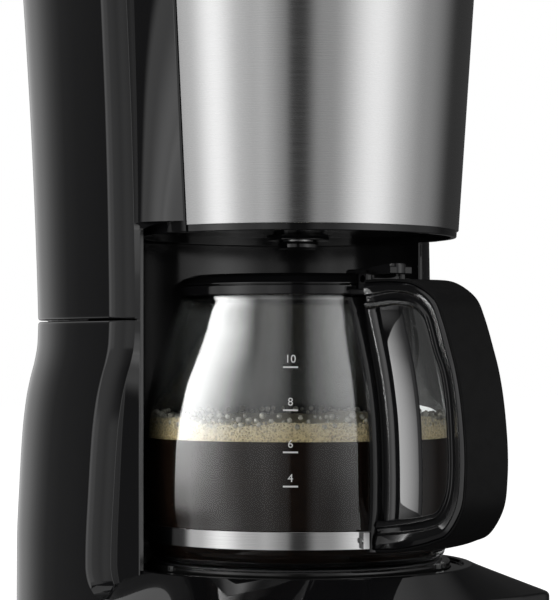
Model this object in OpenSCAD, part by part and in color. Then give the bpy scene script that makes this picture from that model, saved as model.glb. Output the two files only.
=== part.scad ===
// Drip coffee maker: a black housing that wraps round a glass jug on a hotplate, with a
// brushed steel sleeve round the filter housing. +X is the right side, +Y the back, +Z up.
// Plan sizes are measured from the jug's own axis, which stands at [0, axis_y].

/* [Overall] */
// Height from the table to the top of the lid
machine_h = 325; // [318:1:345]
// Half of the greatest width of the tower
tower_half_w = 93; // [90:0.5:110]
// Distance from the jug's axis to the back of the tower at its waist
tower_back = 118; // [112:1:140]
// How much further back the tower stands at its top than at its waist
tower_flare = 10; // [0:1:14]
// Distance from the jug's axis to the front of the base
base_front = 86; // [82:1:100]
// Height of the line where the upper and lower housings meet
joint_z = 151; // [145:1:160]
// Thickness of the moulded walls
wall = 2.5; // [2:0.1:3.5]

/* [Jug bay] */
// Radius of the curved wall behind the jug
niche_r = 82; // [79:0.5:86]
// Height of the top of the bay
niche_top = 194; // [192:0.5:200]
// Thickness of the glossy bay lining
lining_t = 2; // [1.5:0.1:2.4]

/* [Base] */
// Height of the flat top of the base
base_top = 39.5; // [38:0.5:42]
// Height of the outer edge where the sloping top meets the upright sides
base_edge = 26; // [18:0.5:30]
// Radius of the flat part of the base top
base_flat_r = 80; // [78:0.5:81]
// Height of the rubber feet
foot_h = 4; // [3:0.5:6]
// Radius of a rubber foot
foot_r = 8; // [6:0.5:9]

/* [Hotplate] */
// Radius of the hotplate
plate_r = 66; // [60:0.5:67]
// Radius of the rim round the hotplate
rim_r = 70; // [69:0.5:74]
// Height of the hotplate's upper face
plate_z = 42; // [41:0.5:44]

/* [Filter housing] */
// Radius at its lower edge
housing_r0 = 73; // [72:0.2:77]
// Radius under the lid
housing_r1 = 81.2; // [79:0.2:83]
// Height of its lower edge
housing_z0 = 189; // [188:0.5:191]
// Thickness of the steel sleeve
steel_t = 0.8; // [0.5:0.1:1.2]
// Height of the sleeve's lower edge
steel_z0 = 192; // [191:0.5:196]
// Half of the angle that the sleeve covers
steel_half_angle = 78; // [60:1:84]

/* [Lid] */
// Thickness of the lid
lid_h = 12; // [10:0.5:16]
// Radius of the lid's hinge pin
lid_pin_r = 2; // [1.5:0.1:2.5]

/* [Jug] */
// Greatest outer radius of the glass
jug_r = 71.6; // [69:0.2:73]
// Outer radius of the glass at its mouth
neck_r = 55.8; // [52:0.2:58]
// Height of the rim of the glass
neck_z = 165; // [164:0.5:166]
// Thickness of the glass
glass_t = 1.8; // [1.4:0.1:2.4]
// Height of the metal band
band_h = 8; // [6:0.5:10]
// Height of the band's lower edge
band_z = 51; // [50:0.5:54]

/* [Handle] */
// Reach of the handle from the jug's axis
handle_reach = 131; // [125:0.5:138]
// Width of the grip
handle_w = 24; // [20:0.5:28]
// Radius of the jug lid's hinge pin
jug_pin_r = 1.6; // [1.2:0.1:1.8]

/* [Fits] */
// Radial running clearance of a pin in its bore
pin_gap = 0.06; // [0.02:0.01:0.1]
// Clearance between parts that move past each other
gap = 0.4; // [0.3:0.05:0.5]

/* [Hidden] */

$fn = 72;
eps = 0.01;

// The tower leans back above and below its waist: [height, how far it leans].
lean_points = [[-10, 20.5], [45, 20], [75, 17.5], [100, 14.5], [115, 11], [125, 7],
    [133, 3], [141, 0.6], [151, 0], [190, 0.8], [235, 2.8], [280, 6], [325, 10], [360, 13]];
function lean(z) = lookup(z, lean_points);
function back(z) = tower_back + tower_flare * max(0, z - joint_z) / (machine_h - joint_z);

// The tower's plan outline: flat sides, a superellipse behind, and a bevel from the ridge to the bay.
outline_power = 3.2;
outline_mid = 40;
ridge_y = 15;
bay_edge = [niche_r - 0.6, 8];
rear_reach = back(foot_h) + lean(foot_h);
axis_y = (handle_reach - rear_reach) / 2;

housing_z1 = machine_h - lid_h;
black = [0.05, 0.05, 0.055];
steel = [0.72, 0.72, 0.73];
grey = [0.35, 0.35, 0.36];

module at_axis(z = 0) {
    translate([0, axis_y, z]) children();
}

function signed_power(v, p) = sign(v) * pow(abs(v), p);

// Half outline of the tower at height z, from the bay edge round to the back, inset by w.
function half_outline(z, w, steps = 14) =
    let (a = tower_half_w - w, b = back(z) - outline_mid - w, mid = outline_mid + lean(z),
         first = asin(signed_power((ridge_y + w / 2 - outline_mid) / b, outline_power / 2)))
    concat([[bay_edge[0] - w, bay_edge[1] + w]],
        [for (i = [0:steps])
            let (t = first + (90 - first) * i / steps)
            [t < 0 ? a : a * pow(cos(t), 2 / outline_power),
             mid + b * signed_power(sin(t), 2 / outline_power)]]);

function mirror_points(half) = [for (i = [len(half) - 2:-1:0]) [-half[i][0], half[i][1]]];
function outline(z, w = 0) = let (half = half_outline(z, w)) concat(half, mirror_points(half));

// Solid through a stack of outlines at the given heights.
module loft(levels, w = 0) {
    n = len(outline(levels[0], w));
    points = [for (z = levels) for (p = outline(z, w)) [p[0], p[1], z]];
    top = (len(levels) - 1) * n;
    sides = [for (k = [0:len(levels) - 2]) for (i = [0:n - 1])
        let (j = (i + 1) % n, o = k * n)
        for (f = [[o + i, o + n + i, o + j], [o + j, o + n + i, o + n + j]]) f];
    caps = [[for (i = [0:n - 1]) i], [for (i = [n - 1:-1:0]) top + i]];
    polyhedron(points, concat(sides, caps), convexity = 6);
}

function levels_between(z0, z1) =
    concat([z0], [for (p = lean_points) if (p[0] > z0 + 1 && p[0] < z1 - 1) p[0]], [z1]);

// Sector of a ring about the jug's axis, centred on the front (a = 0) or turned by turn.
module sector(r, z0, z1, half_angle, turn = 0) {
    steps = 24;
    edge = r / cos(half_angle / steps);
    translate([0, 0, z0]) linear_extrude(z1 - z0)
        polygon(concat([[0, 0]], [for (i = [-steps:steps])
            let (a = turn - 90 + half_angle * i / steps) edge * [cos(a), sin(a)]]));
}

// ---- Base and housings ----

// Plan outline of the front of the base: a bowed front with rounded corners.
base_corner_r = 11;
base_bow = 12;

module base_outline(w = 0) {
    side = tower_half_w - w;
    front = base_front - w;
    corner = base_corner_r - w / 2;
    bow_r = (side * side + base_bow * base_bow) / (2 * base_bow);
    hull() {
        for (s = [-1, 1]) translate([s * (side - corner), -(front - base_bow - corner)])
            circle(corner, $fn = 40);
        intersection() {
            translate([0, bow_r - front]) circle(bow_r, $fn = 180);
            translate([-side + corner, -front]) square([2 * (side - corner), base_bow + corner]);
        }
        translate([-side, 0]) square([2 * side, ridge_y + lean(foot_h) + 5]);
    }
}

module base_solid(w = 0) {
    top_r = base_flat_r - w;
    hull() {
        translate([0, 0, foot_h - eps]) linear_extrude(base_edge - foot_h - w / 2) base_outline(w);
        translate([0, 0, base_top - 1 - w]) cylinder(h = 1, r = top_r, $fn = 64);
    }
}

// The ledge in the base that the hotplate's rim rests on.
ledge_w = 2;
ledge_h = 1.5;

element_z = plate_z - 12;
screw_places = [[-70, -52], [70, -52], [-62, 96], [62, 96]];
screw_r = 1.6;
screw_l = 12;
screw_head_r = 3.6;
screw_head_h = 1.4;
screw_slot = [5, 0.9, 3.6];

// The space inside both lower mouldings, less the floor of the bay.
module lower_hollow() {
    difference() {
        union() {
            translate([0, 0, -eps]) base_solid(wall);
            loft(levels_between(foot_h - 1, joint_z + 1), wall);
        }
        translate([0, 0, base_top - wall]) cylinder(h = joint_z, r = niche_r);
    }
    translate([0, 0, foot_h - 1]) linear_extrude(plate_t + 1) plate_outline();
}

module base_housing() {
    color(black) at_axis() difference() {
        base_solid();
        difference() {
            loft(levels_between(foot_h - 1, joint_z));
            cylinder(h = joint_z, r = niche_r);
        }
        lower_hollow();
        translate([0, 0, base_top - 10]) cylinder(h = 20, r = rim_r - ledge_w);
        translate([0, 0, base_top - ledge_h]) cylinder(h = 20, r = rim_r + gap);
        switch_cut();
    }
}

module lower_housing() {
    color(black) at_axis() difference() {
        loft(levels_between(foot_h, joint_z));
        cylinder(h = joint_z + 1, r = niche_r);
        lower_hollow();
        inlet_cut();
    }
}

module upper_housing() {
    color(black) at_axis() difference() {
        loft(levels_between(joint_z + 0.6, housing_z1));
        loft(levels_between(joint_z - 1, housing_z1 + 1), wall);
        translate([0, 0, joint_z - 1]) cylinder(h = niche_top - joint_z + 1, r = niche_r);
        translate([0, 0, niche_top - 1]) housing_cone(0.05, niche_top - 1);
        gauge_cut();
    }
}

// Cone of the filter housing, grown by w, from height z upwards.
function housing_r(z) =
    housing_r0 + (housing_r1 - housing_r0) * (z - housing_z0) / (housing_z1 - housing_z0);

module housing_cone(w, z0, z1 = housing_z1 + 1) {
    cylinder(h = z1 - z0, r1 = housing_r(z0) + w, r2 = housing_r(z1) + w);
}

module bay_lining() {
    color(black) at_axis() difference() {
        union() {
            translate([0, 0, base_top]) cylinder(h = niche_top - base_top, r = niche_r);
            intersection() {
                translate([0, 0, niche_top]) cylinder(h = lining_t, r = niche_r);
                translate([-niche_r, bay_edge[1] + 2 * wall, niche_top])
                    cube([2 * niche_r, niche_r, lining_t]);
            }
        }
        translate([0, 0, base_top - 1])
            cylinder(h = niche_top - base_top + 1, r = niche_r - lining_t);
        translate([-2 * niche_r, -2 * niche_r, 0])
            cube([4 * niche_r, 2 * niche_r + bay_edge[1] + 0.5, machine_h]);
        translate([0, 0, housing_z0 - gap]) housing_cone(0.05, housing_z0 - gap, housing_z1);
    }
}

plate_t = 2;
vent = [4, 30, 5];
vent_pitch = 12;

module plate_outline(w = 0) {
    offset(delta = -wall - w) base_outline();
    polygon(outline(foot_h, wall + w));
}

module bottom_plate() {
    color(grey) at_axis(foot_h) difference() {
        linear_extrude(plate_t) plate_outline(0.2);
        for (p = screw_places) translate([p[0], p[1], -1]) cylinder(h = 5, r = screw_r + 0.6);
        for (i = [-3:3]) translate([i * vent_pitch - vent[0] / 2, 20, -1]) cube(vent);
        for (p = foot_places) translate([p[0], p[1], -1]) cylinder(h = 1.5, r = foot_r + 0.1);
    }
}

foot_places = [[-72, -38], [72, -38], [-66, 70], [66, 70]];

module rubber_feet() {
    color([0.09, 0.09, 0.09]) at_axis() for (p = foot_places) translate([p[0], p[1], 0]) {
        cylinder(h = foot_h, r1 = foot_r - 1, r2 = foot_r);
        translate([0, 0, foot_h - eps]) cylinder(h = 0.5, r = foot_r);
    }
}

module bottom_screws() {
    color(steel) at_axis() for (p = screw_places) translate([p[0], p[1], 0]) {
        translate([0, 0, foot_h - screw_head_h]) difference() {
            cylinder(h = screw_head_h, r = screw_head_r);
            translate([0, 0, -1]) cube(screw_slot, center = true);
        }
        translate([0, 0, foot_h - eps]) cylinder(h = screw_l, r = screw_r);
    }
}

// ---- Hotplate and heater ----

module hotplate_rim() {
    color([0.09, 0.09, 0.095]) at_axis() difference() {
        union() {
            translate([0, 0, base_top - 1.4]) cylinder(h = plate_z - base_top + 0.9, r = rim_r);
            translate([0, 0, base_top - 4.4]) cylinder(h = 3.4, r = rim_r - 2.3);
        }
        translate([0, 0, base_top - 8]) cylinder(h = 20, r = plate_r - 3);
        translate([0, 0, plate_z - 2.2]) cylinder(h = 5, r = plate_r + 0.1);
    }
}

module hotplate() {
    color([0.12, 0.12, 0.125]) at_axis() difference() {
        union() {
            translate([0, 0, plate_z - 2]) cylinder(h = 2, r = plate_r);
            translate([0, 0, plate_z - 6]) cylinder(h = 5, r = plate_r - 4);
        }
        translate([0, 0, plate_z - 8]) cylinder(h = 6.5, r = plate_r - 5.5);
    }
}

element_r = 40;
tube_r = 4.5;

module heating_element() {
    color([0.75, 0.75, 0.76]) at_axis(element_z) {
        rotate([0, 0, 125]) rotate_extrude(angle = 290) translate([element_r, 0]) circle(tube_r);
        rotate([0, 0, 125]) rotate_extrude(angle = 290)
            translate([element_r, tube_r + 2.2]) square([9, 6.4], center = true);
        for (a = [125, 55]) rotate([0, 0, a]) translate([element_r, 0, 0])
            rotate([a == 55 ? -90 : 90, 0, 0]) cylinder(h = 8, r = tube_r - 1.5);
    }
}

module element_clamp() {
    color(steel) at_axis(element_z - tube_r - 3) difference() {
        union() {
            translate([-50, -6, 0]) cube([100, 12, 2]);
            translate([0, 0, 2 - eps]) cylinder(h = element_z - 19, r = 4);
        }
        for (s = [-1, 1]) translate([46 * s, 0, -1]) cylinder(h = 4, r = 1.8);
    }
}

thermostat_r = 8;
thermostat_h = 12;

module thermostat() {
    color([0.15, 0.15, 0.16]) at_axis(element_z - tube_r - 1) translate([22, 0, 0]) {
        cylinder(h = thermostat_h, r = thermostat_r);
        translate([0, 0, thermostat_h - 3]) cylinder(h = 3, r = thermostat_r + 2);
    }
}

fuse_l = 18;
fuse_r = 2.5;

module thermal_fuses() {
    color([0.8, 0.78, 0.7]) at_axis(element_z) for (s = [-1, 1])
        translate([-26, s * 12 - fuse_l / 2, 0]) rotate([-90, 0, 0]) cylinder(h = fuse_l, r = fuse_r);
}

// ---- Water path ----

tank_z0 = 64;
tank_z1 = 300;
tank_gap = 1.5;
tank_front = ridge_y + lean(tank_z0) + 6;
tank_t = 2;

// Crescent between the bay wall and the back, with a channel round the riser pipe.
module tank_outline(w) {
    difference() {
        polygon(outline(joint_z, wall + tank_gap + w));
        circle(niche_r + wall + tank_gap + w, $fn = 120);
        translate([riser_x, riser_y]) circle(hose_r + gap + w);
        translate([-150, -100]) square([300, 100 + tank_front + w]);
    }
}

module water_tank() {
    color([0.12, 0.12, 0.13]) at_axis(tank_z0) difference() {
        linear_extrude(tank_z1 - tank_z0) tank_outline(0);
        translate([0, 0, 3]) linear_extrude(tank_z1) tank_outline(tank_t);
        translate([outlet_x, outlet_y, -1]) cylinder(h = 6, r = outlet_r);
    }
}

outlet_x = -30;
outlet_y = 95.5;
outlet_r = 5;
valve_h = 9;

module tank_valve() {
    color([0.85, 0.85, 0.83]) at_axis(tank_z0 - valve_h) translate([outlet_x, outlet_y, 0])
        difference() {
            union() {
                cylinder(h = valve_h + 5, r = outlet_r - 0.1);
                cylinder(h = valve_h - 0.2, r = outlet_r + 1.5);
            }
            translate([0, 0, -1]) cylinder(h = valve_h + 10, r = outlet_r - 2);
        }
}

hose_r = 4.5;
hose_bore = 3;
hose_bend = 14;
hose_end_y = element_r + 14;

// Quarter bend from straight up to straight forward, then a straight run to the heater.
module hose_foot(x, y, z) {
    translate([x, y - hose_bend, z]) rotate([90, 0, 90]) rotate([0, 0, -90])
        rotate_extrude(angle = 90) translate([hose_bend, 0]) hose_ring();
    translate([x, y - hose_bend + eps, z - hose_bend]) rotate([90, 0, 0])
        cylinder_ring(y - hose_bend - hose_end_y);
}

module inlet_hose() {
    color([0.75, 0.74, 0.7]) at_axis() {
        hose_foot(outlet_x, outlet_y, element_z + hose_bend);
        translate([outlet_x, outlet_y, element_z + hose_bend - eps])
            cylinder_ring(tank_z0 - valve_h - element_z - hose_bend);
    }
}

module hose_ring() {
    difference() {
        circle(hose_r);
        circle(hose_bore);
    }
}

module cylinder_ring(h) {
    linear_extrude(h) hose_ring();
}

riser_x = 30;
riser_y = 95.5;
riser_z1 = 303;

module riser_pipe() {
    color([0.75, 0.74, 0.7]) at_axis() {
        hose_foot(riser_x, riser_y, element_z + hose_bend);
        translate([riser_x, riser_y, element_z + hose_bend - eps])
            cylinder_ring(riser_z1 - element_z - hose_bend);
    }
}

spray_r = 30;
spray_h = 5;
spray_z = riser_z1 - 2;
arm_r = 8;
arm_start = [0, 20];
spray_rings = [12, 22];
spray_holes = 12;

module spray_arm(r, z, h) {
    hull() for (p = [arm_start, [riser_x, riser_y]])
        translate([p[0], p[1], z]) cylinder(h = h, r = r, $fn = 32);
}

module spray_head() {
    color([0.16, 0.16, 0.17]) at_axis() difference() {
        union() {
            translate([0, 0, spray_z]) cylinder(h = spray_h, r = spray_r);
            spray_arm(arm_r, spray_z, spray_h);
        }
        translate([0, 0, spray_z - 1]) cylinder(h = spray_h, r = spray_r - 2);
        for (i = [1:spray_holes], r = spray_rings) rotate([0, 0, i * 360 / spray_holes])
            translate([r, 0, spray_z]) cylinder(h = 2 * spray_h, r = 1, $fn = 16);
        translate([riser_x, riser_y, spray_z - 1]) cylinder(h = 4, r = hose_r + 0.1);
    }
}

// ---- Filter housing ----

floor_z = niche_top - 1.5;
floor_t = 2.5;
guide_r = 12;
guide_flange_r = 14.5;
guide_flange_t = 2.5;
guide_z0 = 187.8;
guide_z1 = 197;
disc_r = 9.5;
disc_z0 = 184.1;
disc_z1 = 187.3;
stem_r = 4;
spring_roof = 191.8;
spring_r = 7;

module filter_housing() {
    color(black) at_axis() difference() {
        translate([0, 0, housing_z0]) housing_cone(0, housing_z0, housing_z1);
        translate([0, 0, floor_z + floor_t]) housing_cone(-wall, floor_z + floor_t, housing_z1 + 1);
        translate([0, 0, housing_z0 - 1]) cylinder(h = floor_z - housing_z0 + 1, r = housing_r0 - wall);
        translate([0, 0, housing_z0]) cylinder(h = 20, r = guide_r + 0.1);
        spray_arm(arm_r + 1, spray_z - 1, machine_h);
    }
}

module steel_sleeve() {
    color(steel) at_axis() intersection() {
        difference() {
            translate([0, 0, steel_z0]) housing_cone(steel_t + 0.02, steel_z0, housing_z1 - 0.5);
            translate([0, 0, steel_z0 - 1]) housing_cone(0.02, steel_z0 - 1, housing_z1 + 1);
        }
        sector(2 * housing_r1, steel_z0 - 5, machine_h, steel_half_angle);
    }
}

basket_z0 = 200;
basket_z1 = 296;
basket_floor = 3;
basket_r0 = 50;
basket_r1 = 66;
basket_t = 2;
seal_t = 1.5;

module filter_basket() {
    color([0.13, 0.13, 0.14]) at_axis() difference() {
        union() {
            translate([0, 0, basket_z0])
                cylinder(h = basket_z1 - basket_z0, r1 = basket_r0, r2 = basket_r1);
            translate([0, 0, basket_z1 - 3]) cylinder(h = 3, r = housing_r(basket_z1 - 3) - wall - gap);
        }
        translate([0, 0, basket_z0 + basket_floor]) cylinder(h = basket_z1 - basket_z0,
            r1 = basket_r0 - basket_t, r2 = basket_r1 - basket_t);
        translate([0, 0, basket_z0 - 1]) cylinder(h = 10, r = stem_r + 1);
    }
}

module basket_seal() {
    color([0.6, 0.6, 0.58]) at_axis(basket_z0 + basket_floor) difference() {
        cylinder(h = seal_t, r = stem_r + 4);
        translate([0, 0, -1]) cylinder(h = 5, r = stem_r + 1);
    }
}

module valve_guide() {
    color(black) at_axis() difference() {
        union() {
            translate([0, 0, guide_z0]) cylinder(h = guide_flange_t, r = guide_flange_r);
            translate([0, 0, guide_z0]) cylinder(h = guide_z1 - guide_z0, r = guide_r);
        }
        translate([0, 0, guide_z0 - 1]) cylinder(h = spring_roof - guide_z0 + 1, r = disc_r + 0.6);
        translate([0, 0, guide_z0]) cylinder(h = 20, r = stem_r + pin_gap);
    }
}

module valve_spring() {
    color(steel) at_axis(disc_z1 + 0.05) difference() {
        cylinder(h = spring_roof - disc_z1 - 0.1, r = spring_r);
        translate([0, 0, -1]) cylinder(h = 20, r = spring_r - 1);
    }
}

module drip_valve() {
    cap_z = basket_z0 + basket_floor + seal_t + 0.05;
    color(black) at_axis() {
        translate([0, 0, disc_z0]) cylinder(h = disc_z1 - disc_z0, r = disc_r);
        translate([0, 0, disc_z0 + 1]) cylinder(h = cap_z - disc_z0, r = stem_r);
        translate([0, 0, cap_z]) cylinder(h = 2, r = stem_r + 3);
    }
}

// ---- Lid ----

hinge_r = lid_h / 2 - 0.2;
hinge_z = housing_z1 + hinge_r + 0.2;
hinge_y = back(housing_z1) + lean(housing_z1) - 15;
hinge_half = 58;
cheek_t = 8;
lid_edge_y = hinge_y - hinge_r - gap;

module rear_cap() {
    color(black) at_axis() difference() {
        translate([0, 0, housing_z1]) linear_extrude(lid_h - 1) intersection() {
            polygon(outline(housing_z1, 0.2));
            difference() {
                translate([-150, lid_edge_y + gap]) square([300, 100]);
                translate([-hinge_half - gap, 0]) square([2 * (hinge_half + gap), hinge_y + hinge_r + gap]);
            }
        }
        lid_sweep();
        translate([0, hinge_y, hinge_z]) rotate([0, 90, 0])
            cylinder(h = 2 * (hinge_half + cheek_t), r = lid_pin_r, center = true);
    }
}

// What the lid's rear edge passes through as it opens: all that is ahead of the cheeks' round fronts.
module lid_sweep() {
    difference() {
        translate([-tower_half_w, lid_edge_y - lid_h, housing_z1 - 1])
            cube([2 * tower_half_w, hinge_y - lid_edge_y + lid_h, 2 * lid_h]);
        translate([0, hinge_y, hinge_z]) rotate([0, 90, 0])
            cylinder(h = 3 * tower_half_w, r = hinge_r, center = true);
    }
}

module lid_pin() {
    color(steel) at_axis() translate([0, hinge_y, hinge_z]) rotate([0, 90, 0])
        cylinder(h = 2 * (hinge_half + cheek_t), r = lid_pin_r, center = true);
}

module lid_outline(w = 0) {
    difference() {
        union() {
            circle(housing_r1 + steel_t - w, $fn = 180);
            polygon(outline(housing_z1, w));
        }
        translate([-150, lid_edge_y - w]) square([300, 100]);
    }
}

module lid() {
    color(black) at_axis() difference() {
        union() {
            translate([0, 0, housing_z1 + 0.2]) linear_extrude(lid_h - 0.2) lid_outline();
            translate([0, hinge_y, hinge_z]) rotate([0, 90, 0])
                cylinder(h = 2 * hinge_half, r = hinge_r, center = true);
            translate([-hinge_half, lid_edge_y - 1, hinge_z - hinge_r])
                cube([2 * hinge_half, hinge_y - lid_edge_y + 1, 2 * hinge_r]);
        }
        translate([0, 0, housing_z1 - 1]) linear_extrude(lid_h - 1.5) lid_outline(3);
        translate([0, hinge_y, hinge_z]) rotate([0, 90, 0])
            cylinder(h = 2 * hinge_half + 1, r = lid_pin_r + pin_gap, center = true);
    }
}

module lid_gasket() {
    color([0.6, 0.6, 0.58]) at_axis(housing_z1 - 3) difference() {
        cylinder(h = lid_h + 0.5, r = housing_r1 - 7);
        translate([0, 0, -1]) cylinder(h = lid_h + 3, r = housing_r1 - 9);
    }
}

// ---- Switch, lamp and mains ----

switch_z = 15;
switch_w = 26;
switch_h = 13;
switch_pin_r = 1;
switch_pin_y = -base_front + 3;
lamp_x = 24;
lamp_r = 3;
inlet_z = 20;
inlet_r = 7;
cord_r = 3.4;

module switch_cut() {
    translate([0, -base_front, switch_z]) cube([switch_w, 20, switch_h], center = true);
    translate([lamp_x, -base_front - 1, switch_z]) rotate([-90, 0, 0]) cylinder(h = 10, r = lamp_r + 0.05);
}

module inlet_cut() {
    translate([0, rear_reach - 20, inlet_z]) rotate([-90, 0, 0]) cylinder(h = 30, r = inlet_r + 0.05);
}

module switch_bezel() {
    color(black) at_axis() difference() {
        union() {
            translate([0, -base_front - 0.9, switch_z])
                cube([switch_w + 4, 1.7, switch_h + 4], center = true);
            translate([0, -base_front + 6, switch_z])
                cube([switch_w - 0.2, 13, switch_h - 0.2], center = true);
        }
        translate([0, -base_front, switch_z]) cube([switch_w - 4.4, 40, switch_h - 3.2], center = true);
        translate([0, switch_pin_y, switch_z]) rotate([0, 90, 0])
            cylinder(h = switch_w - 0.2, r = switch_pin_r, center = true);
    }
}

module switch_rocker() {
    color(black) at_axis() translate([0, switch_pin_y, switch_z]) difference() {
        rotate([90, 0, 90]) linear_extrude(switch_w - 5.2, center = true)
            polygon([[3, 3.6], [-5.2, 3.6], [-4, 0], [-4.3, -3.6], [3, -3.6]]);
        rotate([0, 90, 0]) cylinder(h = switch_w, r = switch_pin_r + pin_gap, center = true);
    }
}

module switch_pin() {
    color(steel) at_axis() translate([0, switch_pin_y, switch_z]) rotate([0, 90, 0])
        cylinder(h = switch_w - 0.2, r = switch_pin_r, center = true);
}

module pilot_lamp() {
    color([0.8, 0.25, 0.1]) at_axis() translate([lamp_x, -base_front - 0.6, switch_z])
        rotate([-90, 0, 0]) cylinder(h = 9, r = lamp_r);
}

module terminal_block() {
    color([0.85, 0.84, 0.8]) at_axis() translate([-14, rear_reach - 38, foot_h + plate_t])
        difference() {
            cube([28, 14, 10]);
            for (i = [0:2]) translate([5 + 9 * i, -1, 6]) rotate([-90, 0, 0]) cylinder(h = 16, r = 2);
        }
}

module cord_inlet() {
    color([0.08, 0.08, 0.08]) at_axis() translate([0, rear_reach - 16, inlet_z]) rotate([-90, 0, 0])
        difference() {
            union() {
                cylinder(h = 15.5, r = inlet_r);
                translate([0, 0, 6]) cylinder(h = 3, r = inlet_r + 2);
            }
            translate([0, 0, -1]) cylinder(h = 20, r = cord_r);
        }
}

gauge_y = 55;
gauge_w = 14;
gauge_z0 = 200;
gauge_z1 = 285;

module gauge_cut() {
    translate([tower_half_w - 6, gauge_y - gauge_w / 2, gauge_z0]) cube([12, gauge_w, gauge_z1 - gauge_z0]);
}

module gauge_window() {
    color([0.75, 0.85, 0.9, 0.5]) at_axis()
        translate([tower_half_w - 2.6, gauge_y - gauge_w / 2 + 0.05, gauge_z0 + 0.05])
            cube([2, gauge_w - 0.1, gauge_z1 - gauge_z0 - 0.1]);
}

module rim_clips() {
    color(steel) at_axis() for (a = [26, 31, 180, 270]) rotate([0, 0, a])
        translate([0, -rim_r - 0.5, base_top + 0.05]) difference() {
            translate([-1.2, -0.7, 0]) cube([2.4, 1.15, plate_z - base_top - 0.3]);
            translate([0, -1, 1.2]) rotate([-90, 0, 0]) cylinder(h = 1, r = 0.5);
        }
}

// ---- Jug ----

glass_z0 = plate_z + 0.3;
foot_curve = [[60, 0], [66.3, 2.6], [69.2, 7.6]];
glass_curve = [[jug_r - 1.4, 59], [jug_r - 0.3, 69], [jug_r, 80], [jug_r - 0.4, 95], [jug_r - 1.3, 107],
    [jug_r - 3, 118], [jug_r - 5.6, 129.5], [jug_r - 8.8, 140], [jug_r - 11.8, 149],
    [neck_r + 1.7, 156.5], [neck_r + 0.1, 161.5]];
jug_profile = concat([for (p = foot_curve) [p[0] - 71.6 + jug_r, glass_z0 + p[1]]], glass_curve,
    [[neck_r, neck_z]]);

function fade(z) = min(1, max(0, (glass_z0 + 8 - z) / 8));
function grown(w, z_top = 400) =
    [for (p = jug_profile) [p[0] + w, min(z_top, p[1] - w * fade(p[1]))]];

// The glass as one solid of revolution, grown by w.
module jug_solid(w) {
    rotate_extrude($fn = 144) polygon(concat([[0, glass_z0 - w]], grown(w), [[0, neck_z]]));
}

module glass_jug() {
    color([0.8, 0.85, 0.88, 0.35]) at_axis() rotate_extrude($fn = 144) polygon(concat(
        [[0, glass_z0]], grown(0), [for (p = [len(jug_profile) - 1:-1:0]) grown(-glass_t)[p]],
        [[0, glass_z0 + glass_t]]));
}

band_r = jug_r - 0.3;
band_inner = jug_r - 1.3;

module jug_band() {
    color(steel) at_axis(band_z) difference() {
        cylinder(h = band_h, r = band_r, $fn = 144);
        translate([0, 0, -1]) cylinder(h = band_h + 2, r = band_inner, $fn = 144);
    }
}

clasp_angle = 13.4;

module band_clasp() {
    color(steel) at_axis(band_z + 0.5) for (s = [-1, 1]) rotate([0, 0, s * clasp_angle])
        translate([-1.4, -band_r - 2.6, 0]) difference() {
            cube([2.8, 2.5, band_h - 1]);
            translate([-1, 1.2, band_h / 2 - 0.5]) rotate([0, 90, 0]) cylinder(h = 10, r = 0.8);
        }
}

module clasp_screw() {
    color(steel) at_axis(band_z + band_h / 2) for (s = [-1, 1]) rotate([0, 0, s * clasp_angle])
        translate([s * 1.4, -band_r - 1.4, 0]) rotate([0, s * 90, 0]) {
            cylinder(h = 0.8, r = 1.2);
            translate([0, 0, -2.4]) cylinder(h = 3, r = 0.78);
        }
}

collar_z0 = 161.6;
collar_z1 = 166.2;
collar_r = neck_r + 1.9;
pin_reach = 61.5;
pin_z = 168.6;
lug_x = 8;
lug_t = 3;
lug_top = pin_z + 2.6;
bracket_reach = 66;
spine_half = 14;

module jug_collar() {
    color(black) at_axis() difference() {
        union() {
            translate([0, 0, collar_z0]) cylinder(h = collar_z1 - collar_z0, r = collar_r, $fn = 144);
            translate([-spine_half, -bracket_reach, collar_z0])
                cube([2 * spine_half, 14, pin_z - 4.5 - collar_z0]);
            for (s = [-1, 1]) translate([s * (lug_x + lug_t / 2) - lug_t / 2, -pin_reach - 3, collar_z0])
                cube([lug_t, 6.4, lug_top - collar_z0]);
        }
        translate([0, 0, collar_z0 - 1]) cylinder(h = 20, r = neck_r + 0.15, $fn = 144);
        translate([0, -pin_reach, pin_z]) rotate([0, 90, 0])
            cylinder(h = 2 * (lug_x + lug_t), r = jug_pin_r, center = true);
    }
}

module jug_lid_pin() {
    color(steel) at_axis() translate([0, -pin_reach, pin_z]) rotate([0, 90, 0])
        cylinder(h = 2 * (lug_x + lug_t), r = jug_pin_r, center = true);
}

lid_z0 = collar_z1 + 0.3;
lid_z1 = 171.5;
lid_rim_r = collar_r - 1.2;
plug_r = neck_r - glass_t - 1.4;
drip_hole_r = 6;

module jug_lid() {
    color(black) at_axis() difference() {
        union() {
            translate([0, 0, lid_z0]) cylinder(h = lid_z1 - lid_z0 - 1.2, r = lid_rim_r, $fn = 144);
            translate([0, 0, lid_z1 - 1.21])
                cylinder(h = 1.21, r1 = lid_rim_r, r2 = lid_rim_r - 2, $fn = 144);
            translate([0, 0, lid_z0 - 7]) cylinder(h = 8, r = plug_r, $fn = 144);
        }
        translate([0, 0, lid_z0 - 8]) cylinder(h = lid_z1 - lid_z0 + 5.5, r = plug_r - 2);
        translate([0, 0, lid_z1 - 2]) cylinder(h = 5, r1 = 10, r2 = 17);
        translate([0, 0, lid_z0]) cylinder(h = 20, r = drip_hole_r);
    }
}

knob_reach = 70.5;
knob_top = 175.7;
knob_r = 4.8;
tab_w = 12;

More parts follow.
